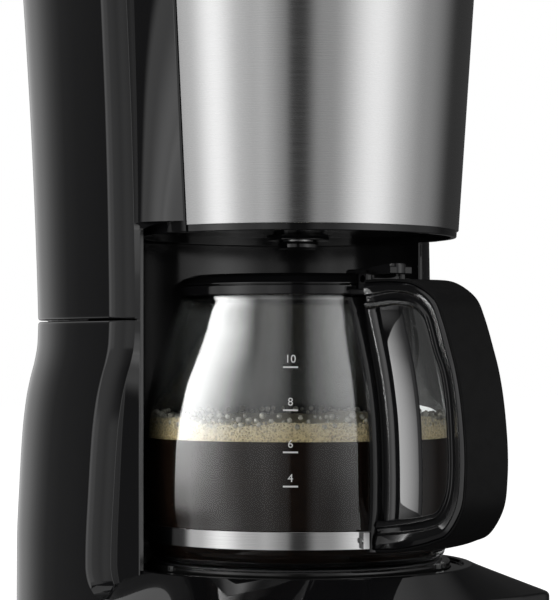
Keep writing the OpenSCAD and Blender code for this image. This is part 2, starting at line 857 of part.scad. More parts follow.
module thumb_tab() {
    half = lug_x - gap;
    color(black) at_axis() difference() {
        union() {
            translate([-tab_w / 2, -60, lid_z1]) cube([tab_w, 18, 1.8]);
            translate([0, -pin_reach, pin_z]) rotate([0, 90, 0])
                cylinder(h = 2 * half, r = 2 * jug_pin_r, center = true);
            translate([-tab_w / 2, 0, 0]) rotate([90, 0, 90]) linear_extrude(tab_w)
                polygon([[-58, pin_z + 2.5], [-58, lid_z1 + 1.8], [-knob_reach, knob_top - 1],
                    [-knob_reach - 4, knob_top - 2], [-knob_reach - 4, pin_z + 1.8],
                    [-pin_reach, pin_z + 1.5]]);
            translate([0, -knob_reach, pin_z + 1.8]) cylinder(h = knob_top - pin_z - 1.8, r = knob_r);
        }
        translate([0, -pin_reach, pin_z]) rotate([0, 90, 0])
            cylinder(h = 20, r = jug_pin_r + pin_gap, center = true);
    }
}

// ---- Handle ----

grip_outer = [[0, 92], [0.4, 79], [3.7, 67.8], [10.9, 60.1], [16.1, 57.4], [31.7, 53.2], [45, 50.8],
    [61, 49.5]];
grip_top = [[43, 168], [35.2, 166.8], [27.7, 164.5], [20.3, 159.8], [16.5, 154.7], [12.8, 147.6],
    [9, 138], [5.3, 127.8], [2.3, 114.8], [0.5, 102]];
window_side = [[27.2, 147.5], [24.5, 139.5], [19.2, 130.7], [15.4, 116.7], [13.8, 98], [13.8, 83.2],
    [16, 75.3], [20.6, 69.7], [25.1, 68.2], [38.2, 65.6]];
spine_t = 9;
spine_z = [64.5, 80, 95, 107, 118, 129.5, 140, 149];
function jug_edge(z) = lookup(z, [for (p = jug_profile) [p[1], p[0]]]);

module handle_outline() {
    outer = [for (p = concat(grip_top, grip_outer)) [handle_reach - p[0], p[1]]];
    inner = [for (p = window_side) [handle_reach - p[0], p[1]]];
    back = [for (z = spine_z) [jug_edge(z) + spine_t, z]];
    difference() {
        polygon(concat([[bracket_reach + 0.1, 168]], outer,
            [[40, 49.5], [40, 150], [bracket_reach + 0.1, 150]]));
        polygon(concat([[jug_edge(149) + spine_t + 1, 155], [handle_reach - 46, 156.5],
            [handle_reach - 31.5, 153]], inner, back));
    }
}

module handle() {
    color(black) at_axis() difference() {
        union() {
            rotate([90, 0, -90]) linear_extrude(handle_w, center = true) handle_outline();
            intersection() {
                jug_solid(3);
                translate([-spine_half, -90, 49.5]) cube([2 * spine_half, 60, collar_z0 - 50]);
            }
        }
        jug_solid(0.15);
        translate([0, 0, band_z - 0.5]) cylinder(h = band_h + 1, r = band_r + 0.1, $fn = 144);
        translate([-20, -bracket_reach - 0.1, collar_z0 - 0.2]) cube([40, 40, 20]);
        translate([-20, -knob_reach - 5.5, pin_z + 1]) cube([40, 20, 20]);
    }
}

upper_housing();
lower_housing();
base_housing();
bay_lining();
bottom_plate();
rubber_feet();
bottom_screws();
hotplate_rim();
hotplate();
heating_element();
element_clamp();
thermostat();
thermal_fuses();
water_tank();
tank_valve();
inlet_hose();
riser_pipe();
spray_head();
filter_housing();
steel_sleeve();
filter_basket();
basket_seal();
valve_guide();
valve_spring();
drip_valve();
rear_cap();
lid_pin();
lid();
lid_gasket();
switch_bezel();
switch_rocker();
switch_pin();
pilot_lamp();
terminal_block();
cord_inlet();
gauge_window();
rim_clips();
glass_jug();
jug_band();
band_clasp();
clasp_screw();
jug_collar();
handle();
jug_lid_pin();
jug_lid();
thumb_tab();
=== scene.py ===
import math

import bpy
import bmesh
import numpy as np
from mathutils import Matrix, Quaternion, Vector


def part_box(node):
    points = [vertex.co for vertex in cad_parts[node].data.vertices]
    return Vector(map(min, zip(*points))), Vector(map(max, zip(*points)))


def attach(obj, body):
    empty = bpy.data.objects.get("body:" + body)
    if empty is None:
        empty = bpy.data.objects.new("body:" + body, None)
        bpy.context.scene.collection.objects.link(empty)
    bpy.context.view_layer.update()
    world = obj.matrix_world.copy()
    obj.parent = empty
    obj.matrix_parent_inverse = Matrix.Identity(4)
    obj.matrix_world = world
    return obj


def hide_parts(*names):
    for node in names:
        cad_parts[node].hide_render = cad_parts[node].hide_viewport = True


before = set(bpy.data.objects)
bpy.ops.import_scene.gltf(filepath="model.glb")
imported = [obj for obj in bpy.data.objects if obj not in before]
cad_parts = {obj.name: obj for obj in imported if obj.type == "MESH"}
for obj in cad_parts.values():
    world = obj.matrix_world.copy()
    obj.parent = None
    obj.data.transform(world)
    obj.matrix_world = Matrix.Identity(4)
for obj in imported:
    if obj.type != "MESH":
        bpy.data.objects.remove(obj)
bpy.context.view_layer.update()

# ---- Camera ----
# A long lens to the front left, level, a little under half way up the machine. AXIS_Y is where the
# jug's own axis stands; every plan size below is measured from it, in millimetres.
MM = 0.001
LONG_SIDE = 600
FOCAL = 2250
DISTANCE = 1.039
EYE_HEIGHT = 0.137
TURN = math.radians(37)
plate_low, plate_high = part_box("hotplate")
AXIS_Y = (plate_low.y + plate_high.y) / 2

lens = bpy.data.cameras.new("camera")
lens.sensor_width = 36
lens.lens = FOCAL / LONG_SIDE * lens.sensor_width
lens.shift_x = -19 / LONG_SIDE
lens.shift_y = 51 / LONG_SIDE
camera = bpy.data.objects.new("camera", lens)
camera.location = (-math.sin(TURN) * DISTANCE, AXIS_Y - math.cos(TURN) * DISTANCE, EYE_HEIGHT)
camera.rotation_euler = (math.radians(90), 0, -TURN)
bpy.context.collection.objects.link(camera)
bpy.context.scene.camera = camera
bpy.context.scene.view_settings.view_transform = "Standard"

# ---- Studio ----
# A white floor and backdrop, and tall diffused panels round the camera with gaps between them, so that
# gloss plastic, glass and steel carry long upright highlights. The jug and the tower have panels of
# their own.
jug_parts = bpy.data.collections.new("jug_parts")
handle_parts = bpy.data.collections.new("handle_parts")
tower_parts = bpy.data.collections.new("tower_parts")


def softbox(name, bearing, spread, distance, level, fade, heights=(-0.6, 1.5), roll=0, only=None):
    """An upright panel at a bearing from the camera's side of the machine and as wide as spread, in
    degrees. It dims towards its edges over a share of its size: at low and high bearing, foot, top.
    A roll in degrees tips its top towards the higher bearings."""
    data = bpy.data.lights.new(name, "AREA")
    data.shape = "RECTANGLE"
    data.size = 2 * distance * math.tan(math.radians(spread / 2))
    data.size_y = heights[1] - heights[0]
    data.energy = level * math.pi * data.size * data.size_y
    data.use_nodes = True
    nodes, link = data.node_tree.nodes, data.node_tree.links.new
    place = nodes.new("ShaderNodeNewGeometry")
    split = nodes.new("ShaderNodeSeparateXYZ")
    link(place.outputs["Parametric"], split.inputs["Vector"])
    total = None
    for axis, start, end in (("X", 0, fade[0]), ("X", 1, 1 - fade[1]), ("Y", 0, fade[2]),
                             ("Y", 1, 1 - fade[3])):
        ramp = nodes.new("ShaderNodeMapRange")
        ramp.interpolation_type = "SMOOTHSTEP"
        ramp.inputs["From Min"].default_value = start
        ramp.inputs["From Max"].default_value = end
        link(split.outputs[axis], ramp.inputs["Value"])
        if total:
            times = nodes.new("ShaderNodeMath")
            times.operation = "MULTIPLY"
            link(total, times.inputs[0])
            link(ramp.outputs["Result"], times.inputs[1])
            total = times.outputs["Value"]
        else:
            total = ramp.outputs["Result"]
    link(total, nodes["Emission"].inputs["Strength"])
    angle = -math.pi / 2 - TURN + math.radians(bearing)
    way = Vector((math.cos(angle), math.sin(angle), 0))
    lamp = bpy.data.objects.new(name, data)
    lamp.location = Vector((0, AXIS_Y, sum(heights) / 2)) + way * distance
    tipped = Quaternion((0, 0, 1), math.radians(-roll))
    lamp.rotation_euler = ((-way).to_track_quat("-Z", "Y") @ tipped).to_euler()
    lamp.visible_camera = False
    if only:
        lamp.light_linking.receiver_collection = only
    bpy.context.collection.objects.link(lamp)


softbox("panel_left", -47, 86, 1.2, 0.8, (0.12, 0.45, 0.1, 0.1))
softbox("panel_left_bright", -56, 38, 1.2, 0.95, (0.5, 0.5, 0.1, 0.1))
softbox("panel_left_front", -17, 26, 1.4, 0.28, (0.3, 0.15, 0.1, 0.1))
softbox("panel_behind_left", -136, 60, 1.2, 0.8, (0.25, 0.4, 0.1, 0.1))
softbox("panel_right_front", 37, 66, 1.2, 0.42, (0.18, 0.4, 0.1, 0.1))
softbox("panel_right_bright", 57, 70, 1.2, 1.25, (0.5, 0.5, 0.1, 0.1))
softbox("panel_right", 97, 56, 1.2, 0.38, (0.4, 0.6, 0.1, 0.1))
softbox("tower_panel", -14, 76, 1.2, 0.7, (0.1, 0.45, 0.05, 0.05), (-1.8, 1.8), 0, tower_parts)
softbox("jug_panel_left", -70, 50, 1.2, 15, (0.03, 0.95, 0.5, 0.2), (-0.45, 1.4), 14, jug_parts)
softbox("jug_panel_left_front", -22, 40, 1.4, 0.75, (0.3, 0.6, 0.6, 0.2), (-0.3, 1.5), 0, jug_parts)
softbox("jug_panel_right_front", 24, 44, 1.4, 2.1, (0.8, 0.1, 0.6, 0.2), (-0.3, 1.5), 0, jug_parts)

softbox("handle_panel", 75, 30, 1.2, 8, (0.05, 0.9, 0.3, 0.3), (-0.6, 1.2), 0, handle_parts)

ceiling = bpy.data.lights.new("ceiling", "AREA")
ceiling.shape = "SQUARE"
ceiling.size = 1.4
ceiling.energy = 5
overhead = bpy.data.objects.new("ceiling", ceiling)
overhead.location = (0, 0, 1.6)
overhead.visible_camera = False
bpy.context.collection.objects.link(overhead)

FLOOR_HALF = 4
floor_mesh = bpy.data.meshes.new("floor")
floor_mesh.from_pydata([(-FLOOR_HALF, -FLOOR_HALF, 0), (FLOOR_HALF, -FLOOR_HALF, 0),
                        (FLOOR_HALF, FLOOR_HALF, 0), (-FLOOR_HALF, FLOOR_HALF, 0)],
                       [], [(0, 1, 2, 3)])
floor = bpy.data.objects.new("floor", floor_mesh)
bpy.context.collection.objects.link(floor)
floor_paint = bpy.data.materials.new("floor_paint")
floor_paint.use_nodes = True
floor_shader = floor_paint.node_tree.nodes["Principled BSDF"]
floor_shader.inputs["Base Color"].default_value = (0.3, 0.3, 0.3, 1)
floor_shader.inputs["Roughness"].default_value = 0.9
floor_shader.inputs["Emission Color"].default_value = (1, 1, 1, 1)
floor_shader.inputs["Emission Strength"].default_value = 1.0
floor_mesh.materials.append(floor_paint)
floor.visible_glossy = False
floor.visible_diffuse = False
floor.visible_shadow = False

world = bpy.data.worlds.new("studio")
bpy.context.scene.world = world
world.use_nodes = True
sky = world.node_tree
room = sky.nodes["Background"]
room.inputs["Color"].default_value = (1, 1, 1, 1)
room.inputs["Strength"].default_value = 0.05
backdrop = sky.nodes.new("ShaderNodeBackground")
backdrop.inputs["Color"].default_value = (1, 1, 1, 1)
rays = sky.nodes.new("ShaderNodeLightPath")
blend = sky.nodes.new("ShaderNodeMixShader")
sky.links.new(rays.outputs["Is Camera Ray"], blend.inputs["Fac"])
sky.links.new(room.outputs["Background"], blend.inputs[1])
sky.links.new(backdrop.outputs["Background"], blend.inputs[2])
sky.links.new(blend.outputs["Shader"], sky.nodes["World Output"].inputs["Surface"])

# ---- Tower housings ----
# Two injection-moulded gloss black shells that meet at a joint line at the waist. Their front edges
# form a C round the jug, and above it a cheek on each side runs on to the steel sleeve; a bevel leads
# to a ridge, the sides are flat behind the ridge, and the back is rounded. The tower leans back
# above and below the waist.
LEAN = [(-10, 20.5), (45, 20), (75, 17.5), (100, 14.5), (115, 11), (125, 7), (133, 3), (141, 0.6),
        (151, 0), (190, 0.8), (235, 2.8), (280, 6), (325, 10), (360, 13)]
HALF_W, BACK, FLARE, SIDE_END, POWER = 93.0, 118.0, 10.0, 40.0, 3.2
RIDGE_Y, RIDGE_ROUND, BEVEL_BOW = 15.0, 2.2, 0.45
BEVEL_X, BEVEL_DEPTH = 83.4, 5.8
CHEEK_ANGLE = math.radians(79.0)
BAY_X, BAY_Y, BAY_R, BAY_CORNER = 81.4, 8.0, 82.0, 5.0
JOINT_Z, LID_Z, TOP_Z = 151.0, 313.0, 325.0
BAY_TOP, BASE_TOP, BASE_EDGE, FOOT_H = 194.0, 39.5, 26.0, 4.0
FOOT_SWEEP = 15.0
WALL = 2.4
CONE_Z, CONE_R0, CONE_R1 = 189.0, 73.0, 81.2


def cone_r(z):
    """Radius of the filter housing at a height."""
    return CONE_R0 + (CONE_R1 - CONE_R0) * (z - CONE_Z) / (LID_Z - CONE_Z)


def smooth_lookup(table, z):
    """Cubic interpolation through a table of (height, value), level where the values turn."""
    xs = np.array([p[0] for p in table], float)
    ys = np.array([p[1] for p in table], float)
    steps = np.diff(ys) / np.diff(xs)
    slopes = np.zeros(len(xs))
    for i in range(1, len(xs) - 1):
        a, b = steps[i - 1], steps[i]
        slopes[i] = 0 if a * b <= 0 else 2 * a * b / (a + b)
    slopes[0], slopes[-1] = steps[0], steps[-1]
    k = int(np.clip(np.searchsorted(xs, z) - 1, 0, len(xs) - 2))
    h = xs[k + 1] - xs[k]
    t = (z - xs[k]) / h
    return (ys[k] * (1 + 2 * t) * (1 - t) ** 2 + slopes[k] * h * t * (1 - t) ** 2
            + ys[k + 1] * t * t * (3 - 2 * t) + slopes[k + 1] * h * t * t * (t - 1))


def rounded(points, radii, steps=5):
    """An open path with its corners rounded; radii has one value for each point, 0 for none."""
    out = [np.array(points[0], float)]
    for k in range(1, len(points) - 1):
        before, corner, after = (np.array(points[k + i], float) for i in (-1, 0, 1))
        if radii[k] <= 0:
            out.append(corner)
            continue
        u, v = before - corner, after - corner
        lu, lv = np.linalg.norm(u), np.linalg.norm(v)
        u, v = u / lu, v / lv
        half = math.acos(np.clip(np.dot(u, v), -0.9999, 0.9999)) / 2
        reach = min(radii[k] / math.tan(half), 0.49 * lu, 0.49 * lv)
        a, b = corner + u * reach, corner + v * reach
        for i in range(steps + 1):
            t = i / steps
            out.append((1 - t) ** 2 * a + 2 * t * (1 - t) * corner + t * t * b)
    out.append(np.array(points[-1], float))
    return out


def sweep(sections, ring=False):
    """Closed skin through a row of closed sections: joined end to end as a ring, or capped."""
    count, rows = len(sections[0]), len(sections)
    verts = [tuple(p) for section in sections for p in section]
    faces = []
    for k in range(rows if ring else rows - 1):
        for i in range(count):
            j = (i + 1) % count
            a, b = k * count, (k + 1) % rows * count
            faces.append((a + i, a + j, b + j, b + i))
    if not ring:
        faces += [tuple(range(count)), tuple(range((rows - 1) * count, rows * count))]
    return verts, faces


def turned(profile, first=0.0, last=360.0, steps=192):
    """Solid of revolution of a closed (radius, height) profile; bearings in degrees from the front."""
    whole = last - first >= 360
    count = steps if whole else steps + 1
    angles = [math.radians(first + (last - first) * k / steps) for k in range(count)]
    return sweep([[(r * math.sin(a), -r * math.cos(a), z) for r, z in profile] for a in angles], whole)


def piece(name, parts, material, body, replaces=(), sharp=34):
    """One mesh from closed (vertices, faces) parts, in millimetres about the jug's axis."""
    verts, faces = [], []
    for part_verts, part_faces in parts:
        base = len(verts)
        verts += [(x * MM, y * MM + AXIS_Y, z * MM) for x, y, z in part_verts]
        faces += [tuple(base + i for i in face) for face in part_faces]
    mesh = bpy.data.meshes.new(name)
    mesh.from_pydata(verts, [], faces)
    work = bmesh.new()
    work.from_mesh(mesh)
    bmesh.ops.remove_doubles(work, verts=work.verts, dist=2e-6)
    bmesh.ops.recalc_face_normals(work, faces=work.faces)
    work.to_mesh(mesh)
    work.free()
    mesh.polygons.foreach_set("use_smooth", [True] * len(mesh.polygons))
    mesh.set_sharp_from_angle(angle=math.radians(sharp))
    mesh.materials.append(material)
    made = bpy.data.objects.new(name, mesh)
    bpy.context.collection.objects.link(made)
    flatten = made.modifiers.new("flatten", "WEIGHTED_NORMAL")
    flatten.keep_sharp = True
    graph = bpy.context.evaluated_depsgraph_get()
    made_mesh = bpy.data.meshes.new_from_object(made.evaluated_get(graph))
    made.modifiers.clear()
    made.data = made_mesh
    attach(made, body)
    if replaces:
        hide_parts(*replaces)
    return made


def group_socket(group, name, direction, kind, value=None):
    made = group.interface.new_socket(name=name, in_out=direction, socket_type=kind)
    if value is not None:
        made.default_value = value


def wear_group():
    """Node group: patches of fine scuffs and dulled edges as a roughness, with a faint ripple."""
    group = bpy.data.node_groups.new("gloss_wear", "ShaderNodeTree")
    for name, value in (("Roughness", 0.05), ("Scuff", 0.05), ("Edge", 0.1), ("Scale", 60.0),
                        ("Ripple", 0.05)):
        group_socket(group, name, "INPUT", "NodeSocketFloat", value)
    group_socket(group, "Roughness", "OUTPUT", "NodeSocketFloat")
    group_socket(group, "Edge Mask", "OUTPUT", "NodeSocketFloat")
    group_socket(group, "Normal", "OUTPUT", "NodeSocketVector")
    nodes, link = group.nodes, group.links.new
    given, out = nodes.new("NodeGroupInput"), nodes.new("NodeGroupOutput")
    place = nodes.new("ShaderNodeTexCoord")
    cloud = nodes.new("ShaderNodeTexNoise")
    cloud.inputs["Detail"].default_value = 6
    link(place.outputs["Object"], cloud.inputs["Vector"])
    link(given.outputs["Scale"], cloud.inputs["Scale"])
    patch = nodes.new("ShaderNodeMapRange")
    patch.inputs["From Min"].default_value = 0.45
    patch.inputs["From Max"].default_value = 0.75
    link(cloud.outputs["Fac"], patch.inputs["Value"])
    scuffed = nodes.new("ShaderNodeMath")
    scuffed.operation = "MULTIPLY_ADD"
    link(patch.outputs["Result"], scuffed.inputs[0])
    link(given.outputs["Scuff"], scuffed.inputs[1])
    link(given.outputs["Roughness"], scuffed.inputs[2])
    shape = nodes.new("ShaderNodeNewGeometry")
    sharp = nodes.new("ShaderNodeMapRange")
    sharp.inputs["From Min"].default_value = 0.52
    sharp.inputs["From Max"].default_value = 0.62
    link(shape.outputs["Pointiness"], sharp.inputs["Value"])
    worn = nodes.new("ShaderNodeMath")
    worn.operation = "MULTIPLY_ADD"
    link(sharp.outputs["Result"], worn.inputs[0])
    link(given.outputs["Edge"], worn.inputs[1])
    link(scuffed.outputs["Value"], worn.inputs[2])
    wave = nodes.new("ShaderNodeTexNoise")
    wave.inputs["Scale"].default_value = 9
    wave.inputs["Detail"].default_value = 1
    link(place.outputs["Object"], wave.inputs["Vector"])
    bump = nodes.new("ShaderNodeBump")
    bump.inputs["Distance"].default_value = 0.002
    link(given.outputs["Ripple"], bump.inputs["Strength"])
    link(wave.outputs["Fac"], bump.inputs["Height"])
    link(worn.outputs["Value"], out.inputs["Roughness"])
    link(sharp.outputs["Result"], out.inputs["Edge Mask"])
    link(bump.outputs["Normal"], out.inputs["Normal"])
    return group


gloss_wear = wear_group()


def finish(name, colour, roughness, scuff=0.05, edge=0.08, scale=60.0, ripple=0.05, metallic=0.0,
           specular=0.5, worn_colour=None):
    """A material whose gloss is broken by scuffs and whose edges may wear to another colour."""
    made = bpy.data.materials.new(name)
    made.use_nodes = True
    nodes, link = made.node_tree.nodes, made.node_tree.links.new
    shader = nodes["Principled BSDF"]
    shader.inputs["Base Color"].default_value = (*colour, 1)
    shader.inputs["Metallic"].default_value = metallic
    shader.inputs["Specular IOR Level"].default_value = specular
    wear = nodes.new("ShaderNodeGroup")
    wear.node_tree = gloss_wear
    for key, value in (("Roughness", roughness), ("Scuff", scuff), ("Edge", edge),
                       ("Scale", scale), ("Ripple", ripple)):
        wear.inputs[key].default_value = value
    link(wear.outputs["Roughness"], shader.inputs["Roughness"])
    link(wear.outputs["Normal"], shader.inputs["Normal"])
    if worn_colour:
        tint = nodes.new("ShaderNodeMix")
        tint.data_type = "RGBA"
        tint.inputs["A"].default_value = (*colour, 1)
        tint.inputs["B"].default_value = (*worn_colour, 1)
        link(wear.outputs["Edge Mask"], tint.inputs["Factor"])
        link(tint.outputs["Result"], shader.inputs["Base Color"])
    return made


gloss_black = finish("gloss_black", (0.006, 0.006, 0.0065), 0.035, scuff=0.04,
                     worn_colour=(0.012, 0.012, 0.0125))


def ridge_y(z):
    """Where the ridge stands at a height; at the foot it sweeps forward into the base's edge."""
    y = RIDGE_Y + smooth_lookup(LEAN, z)
    drop = BASE_EDGE + FOOT_SWEEP - z
    if drop > 0:
        y -= FOOT_SWEEP - math.sqrt(max(0.0, FOOT_SWEEP ** 2 - min(drop, FOOT_SWEEP) ** 2))
    return y


def bay_turn(z):
    """How far the tower's edge has turned in over the bay: 0 beside the jug, 1 beside the filter."""
    rise = min(max(z - (BAY_TOP - BAY_CORNER), 0), BAY_CORNER)
    return 1 - math.sqrt(max(0.0, 1 - (rise / BAY_CORNER) ** 2))


def bay_edge(z):
    """The tower's front edge: beside the jug, then on the cheek that meets the steel sleeve."""
    turn, r = bay_turn(z), cone_r(max(z, BAY_TOP)) + 0.8
    cheek_x, cheek_y = r * math.sin(CHEEK_ANGLE), -r * math.cos(CHEEK_ANGLE)
    return BAY_X + (cheek_x - BAY_X) * turn, BAY_Y + (cheek_y - BAY_Y) * turn


def back_y(z):
    """How far back the tower stands at a height, before it leans: it flares above the waist."""
    return BACK + FLARE * max(0, z - JOINT_Z) / (TOP_Z - JOINT_Z)


def tower_half(z, inset, wall=0.0):
    """Half of the tower's outline at a height, from the bay's edge to the middle of the back."""
    side, mid = HALF_W - inset - wall, SIDE_END + smooth_lookup(LEAN, z)
    depth = back_y(z) - SIDE_END - inset - wall
    edge_x, edge_y = bay_edge(z)
    if wall:
        front = [np.array((edge_x - 0.8 * wall, edge_y + wall))] * 22
        front.append(np.array((BEVEL_X - 1.6, max(edge_y + 0.5, ridge_y(z) - BEVEL_DEPTH) + 2.2)))
        front += rounded([front[-1], (side, ridge_y(z) + 0.6 * wall), (side, mid)],
                         [0, RIDGE_ROUND, 0])[1:]
    else:
        round_r = RIDGE_ROUND if z > BASE_EDGE + 4 else 0.05
        ridge = ridge_y(z) + 0.4 * inset
        inner_x, inner_y = BEVEL_X, max(edge_y + 0.5, ridge - BEVEL_DEPTH)
        turn = bay_turn(z)
        hold_x = (edge_x + inner_x) / 2 * (1 - turn) + (inner_x + 0.1) * turn
        hold_y = (edge_y + inner_y) / 2 * (1 - turn) + (edge_y + 0.5 * (inner_y - edge_y)) * turn
        cheek = [((1 - t) ** 2 * edge_x + 2 * t * (1 - t) * hold_x + t * t * inner_x,
                  (1 - t) ** 2 * edge_y + 2 * t * (1 - t) * hold_y + t * t * inner_y)
                 for t in (0.15, 0.3, 0.45, 0.6, 0.75, 0.9)]
        bow = [((inner_x + (side - inner_x) * t) + 4 * BEVEL_BOW * t * (1 - t) * 0.5,
                (inner_y + (ridge - inner_y) * t) - 4 * BEVEL_BOW * t * (1 - t) * 0.85)
               for t in (0.25, 0.5, 0.75)]
        front = rounded([(edge_x - 1.6, edge_y + 2.2), (edge_x, edge_y)] + cheek + [(inner_x, inner_y)]
                        + bow + [(side, ridge), (side, mid)],
                        [0, 0.5, 0, 0, 0, 0, 0, 0, 0.3, 0, 0, 0, round_r, 0])
    rear = [np.array((side * math.cos(t) ** (2 / POWER), mid + depth * math.sin(t) ** (2 / POWER)))
            for t in np.linspace(0, math.pi / 2, 40)[1:]]
    return front + rear


def tower_section(z, inset):
    outer, inner = tower_half(z, inset), tower_half(z, inset, WALL)
    ring = outer + [(-p[0], p[1]) for p in outer[-2::-1]]
    back = inner + [(-p[0], p[1]) for p in inner[-2::-1]]
    return [(p[0], p[1], z) for p in ring + back[::-1]]


ROLL = [(0.0, 0.9), (0.3, 0.35), (0.8, 0.08), (1.6, 0.0)]
GROOVE = 0.4
upper_levels = [(JOINT_Z + GROOVE + up, inset) for up, inset in ROLL]
upper_levels += [(z, 0) for z in np.arange(156, 188, 4)]
upper_levels += [(z, 0) for z in np.linspace(BAY_TOP - BAY_CORNER, BAY_TOP, 11)]
upper_levels += [(z, 0) for z in np.arange(BAY_TOP + 4, LID_Z - 2, 4)] + [(LID_Z - 0.6, 0), (LID_Z, 0.5)]
tower_parts.objects.link(piece("upper_shell", [sweep([tower_section(z, i) for z, i in upper_levels])],
                               gloss_black, "machine", ["upper_housing"]))

SIDE_STEP = 0.03
lower_levels = [(FOOT_H, 0.8), (FOOT_H + 0.8, SIDE_STEP)]
lower_levels += [(z, SIDE_STEP) for z in np.arange(8, BASE_EDGE, 4)]
lower_levels += [(z, SIDE_STEP) for z in np.linspace(BASE_EDGE, BASE_EDGE + FOOT_SWEEP, 16)]
lower_levels += [(z, 0) for z in np.arange(44, 148, 3)]
lower_levels += [(JOINT_Z - GROOVE - down, inset) for down, inset in ROLL[::-1]]
tower_parts.objects.link(piece("lower_shell", [sweep([tower_section(z, i) for z, i in lower_levels])],
                               gloss_black, "machine", ["lower_housing"]))

# ---- Base ----
# The low plinth in front of the tower, gloss black like it: a bowed front with rounded corners, a
# top that falls from a flat round table to a sharp outer edge, and a groove round the hotplate.
BASE_FRONT, BOW, CORNER_R = 86.0, 12.0, 11.0
TABLE_R, GROOVE_R, WELL_R = 80.0, 76.0, 70.4
EDGE_ROUND = 2.6
BASE_BACK = 24.0


def base_plan():
    """Plan outline of the plinth; behind, it runs just inside the tower's wall."""
    bow_r = (HALF_W ** 2 + BOW ** 2) / (2 * BOW)
    front = [(x, -BASE_FRONT + bow_r - math.sqrt(bow_r ** 2 - x ** 2)) for x in np.linspace(0, HALF_W, 40)]
    corner = rounded([front[-12], (HALF_W, front[-1][1] + 0.6), (HALF_W, 10)], [0, CORNER_R, 0], 14)
    mid, side = SIDE_END + smooth_lookup(LEAN, FOOT_H), HALF_W - 1.5 * WALL
    rear = [(side * math.cos(t) ** (2 / POWER), mid + (BACK - SIDE_END - 3) * math.sin(t) ** (2 / POWER))
            for t in np.linspace(0, math.pi / 2, 24)]
    half = front[:-12] + corner + [(HALF_W, BASE_BACK - 3), (side, BASE_BACK)] + rear
    return np.array(half + [(-p[0], p[1]) for p in half[-2:0:-1]])


def reach_along(path, angle):
    """Farthest crossing of a closed path along one bearing from the jug's axis, or 0."""
    edge = np.roll(path, -1, axis=0) - path
    d = np.array((math.cos(angle), math.sin(angle)))
    cross = d[0] * edge[:, 1] - d[1] * edge[:, 0]
    cross[np.abs(cross) < 1e-9] = 1e-9
    reach = (path[:, 0] * edge[:, 1] - path[:, 1] * edge[:, 0]) / cross
    along = (path[:, 0] * d[1] - path[:, 1] * d[0]) / cross
    return max(reach[(reach > 0) & (along >= -1e-6) & (along <= 1 + 1e-6)], default=0)


plan = base_plan()
base_sections = []
for bearing in np.linspace(0, 2 * math.pi, 720, endpoint=False):
    edge_r = reach_along(plan, bearing)
    outside = rounded([(edge_r - 3, FOOT_H), (edge_r, FOOT_H), (edge_r, BASE_EDGE),
                       (TABLE_R, BASE_TOP), (GROOVE_R + 0.5, BASE_TOP),
                       (GROOVE_R, BASE_TOP - 1.4), (WELL_R, BASE_TOP - 1.4),
                       (WELL_R, BASE_TOP - 6)], [0, 0.8, EDGE_ROUND, 1.2, 0.3, 0.3, 0.3, 0], 4)
    inside = [(WELL_R + WALL, BASE_TOP - 6), (WELL_R + WALL, BASE_TOP - 4),
              (TABLE_R - 1, BASE_TOP - WALL), (edge_r - WALL, BASE_EDGE - 1), (edge_r - 3, FOOT_H + 2)]
    base_sections.append([(math.cos(bearing) * r, math.sin(bearing) * r, z)
                          for r, z in list(outside) + inside])
piece("base_shell", [sweep(base_sections, True)], gloss_black, "machine", ["base_housing"],
      sharp=40)

# ---- Bay lining ----
# The curved gloss wall behind the jug, and the flat roof over it; one thin black moulding that
# slots in between the two shells.
LINING_T = 2.0
LINING_EDGE = 90 + math.degrees(math.asin((BAY_Y + 0.6) / BAY_R))
piece("bay_wall", [
    turned([(BAY_R - LINING_T, BASE_TOP), (BAY_R - 0.4, BASE_TOP), (BAY_R - 0.4, BAY_TOP),
            (BAY_R - LINING_T, BAY_TOP)], LINING_EDGE, 360 - LINING_EDGE),
    turned([(CONE_R0 + 0.5, BAY_TOP), (BAY_R - 0.4, BAY_TOP), (BAY_R - 0.4, BAY_TOP + 1.6),
            (CONE_R0 + 0.5, BAY_TOP + 1.6)], LINING_EDGE, 360 - LINING_EDGE)],
    gloss_black, "machine", ["bay_lining"])

# ---- Filter housing ----
# A gloss black cone that holds the filter basket, with a lip under a steel sleeve. Where the sleeve
# ends, the black stands proud by the sleeve's thickness, behind a thin groove.
SLEEVE_Z0, SLEEVE_Z1, SLEEVE_HALF, SLEEVE_T = 192.0, 312.6, 78.0, 0.8
CHEEK_START = 78.6


def cone_profile(proud, low, high, wall=2.5):
    """Closed profile of the cone's wall between two heights, standing proud by an amount."""
    outer = rounded([(cone_r(low) - wall, low), (cone_r(low) + proud, low),
                     (cone_r(high) + proud, high), (cone_r(high) - wall, high)], [0, 0.6, 0.4, 0], 4)
    return outer


cone_parts = [turned(cone_profile(0.0, CONE_Z, LID_Z))]
cone_parts += [turned(cone_profile(SLEEVE_T, CONE_Z + 0.01, LID_Z - 0.2), first, last, 24)
               for first, last in ((CHEEK_START, 100), (260, 360 - CHEEK_START))]
GUIDE_R, FLOOR_Z = 12.1, 192.5
cone_parts.append(turned([(GUIDE_R, FLOOR_Z), (CONE_R0 - 2, FLOOR_Z), (CONE_R0 - 2, FLOOR_Z + 2.5),
                          (GUIDE_R, FLOOR_Z + 2.5)]))
piece("filter_cone", cone_parts, gloss_black, "machine", ["filter_housing"])

# ---- Steel sleeve ----
# Stainless sheet rolled round the filter housing. It was brushed along its length before rolling, so
# the grain runs round it and stretches every highlight upwards.


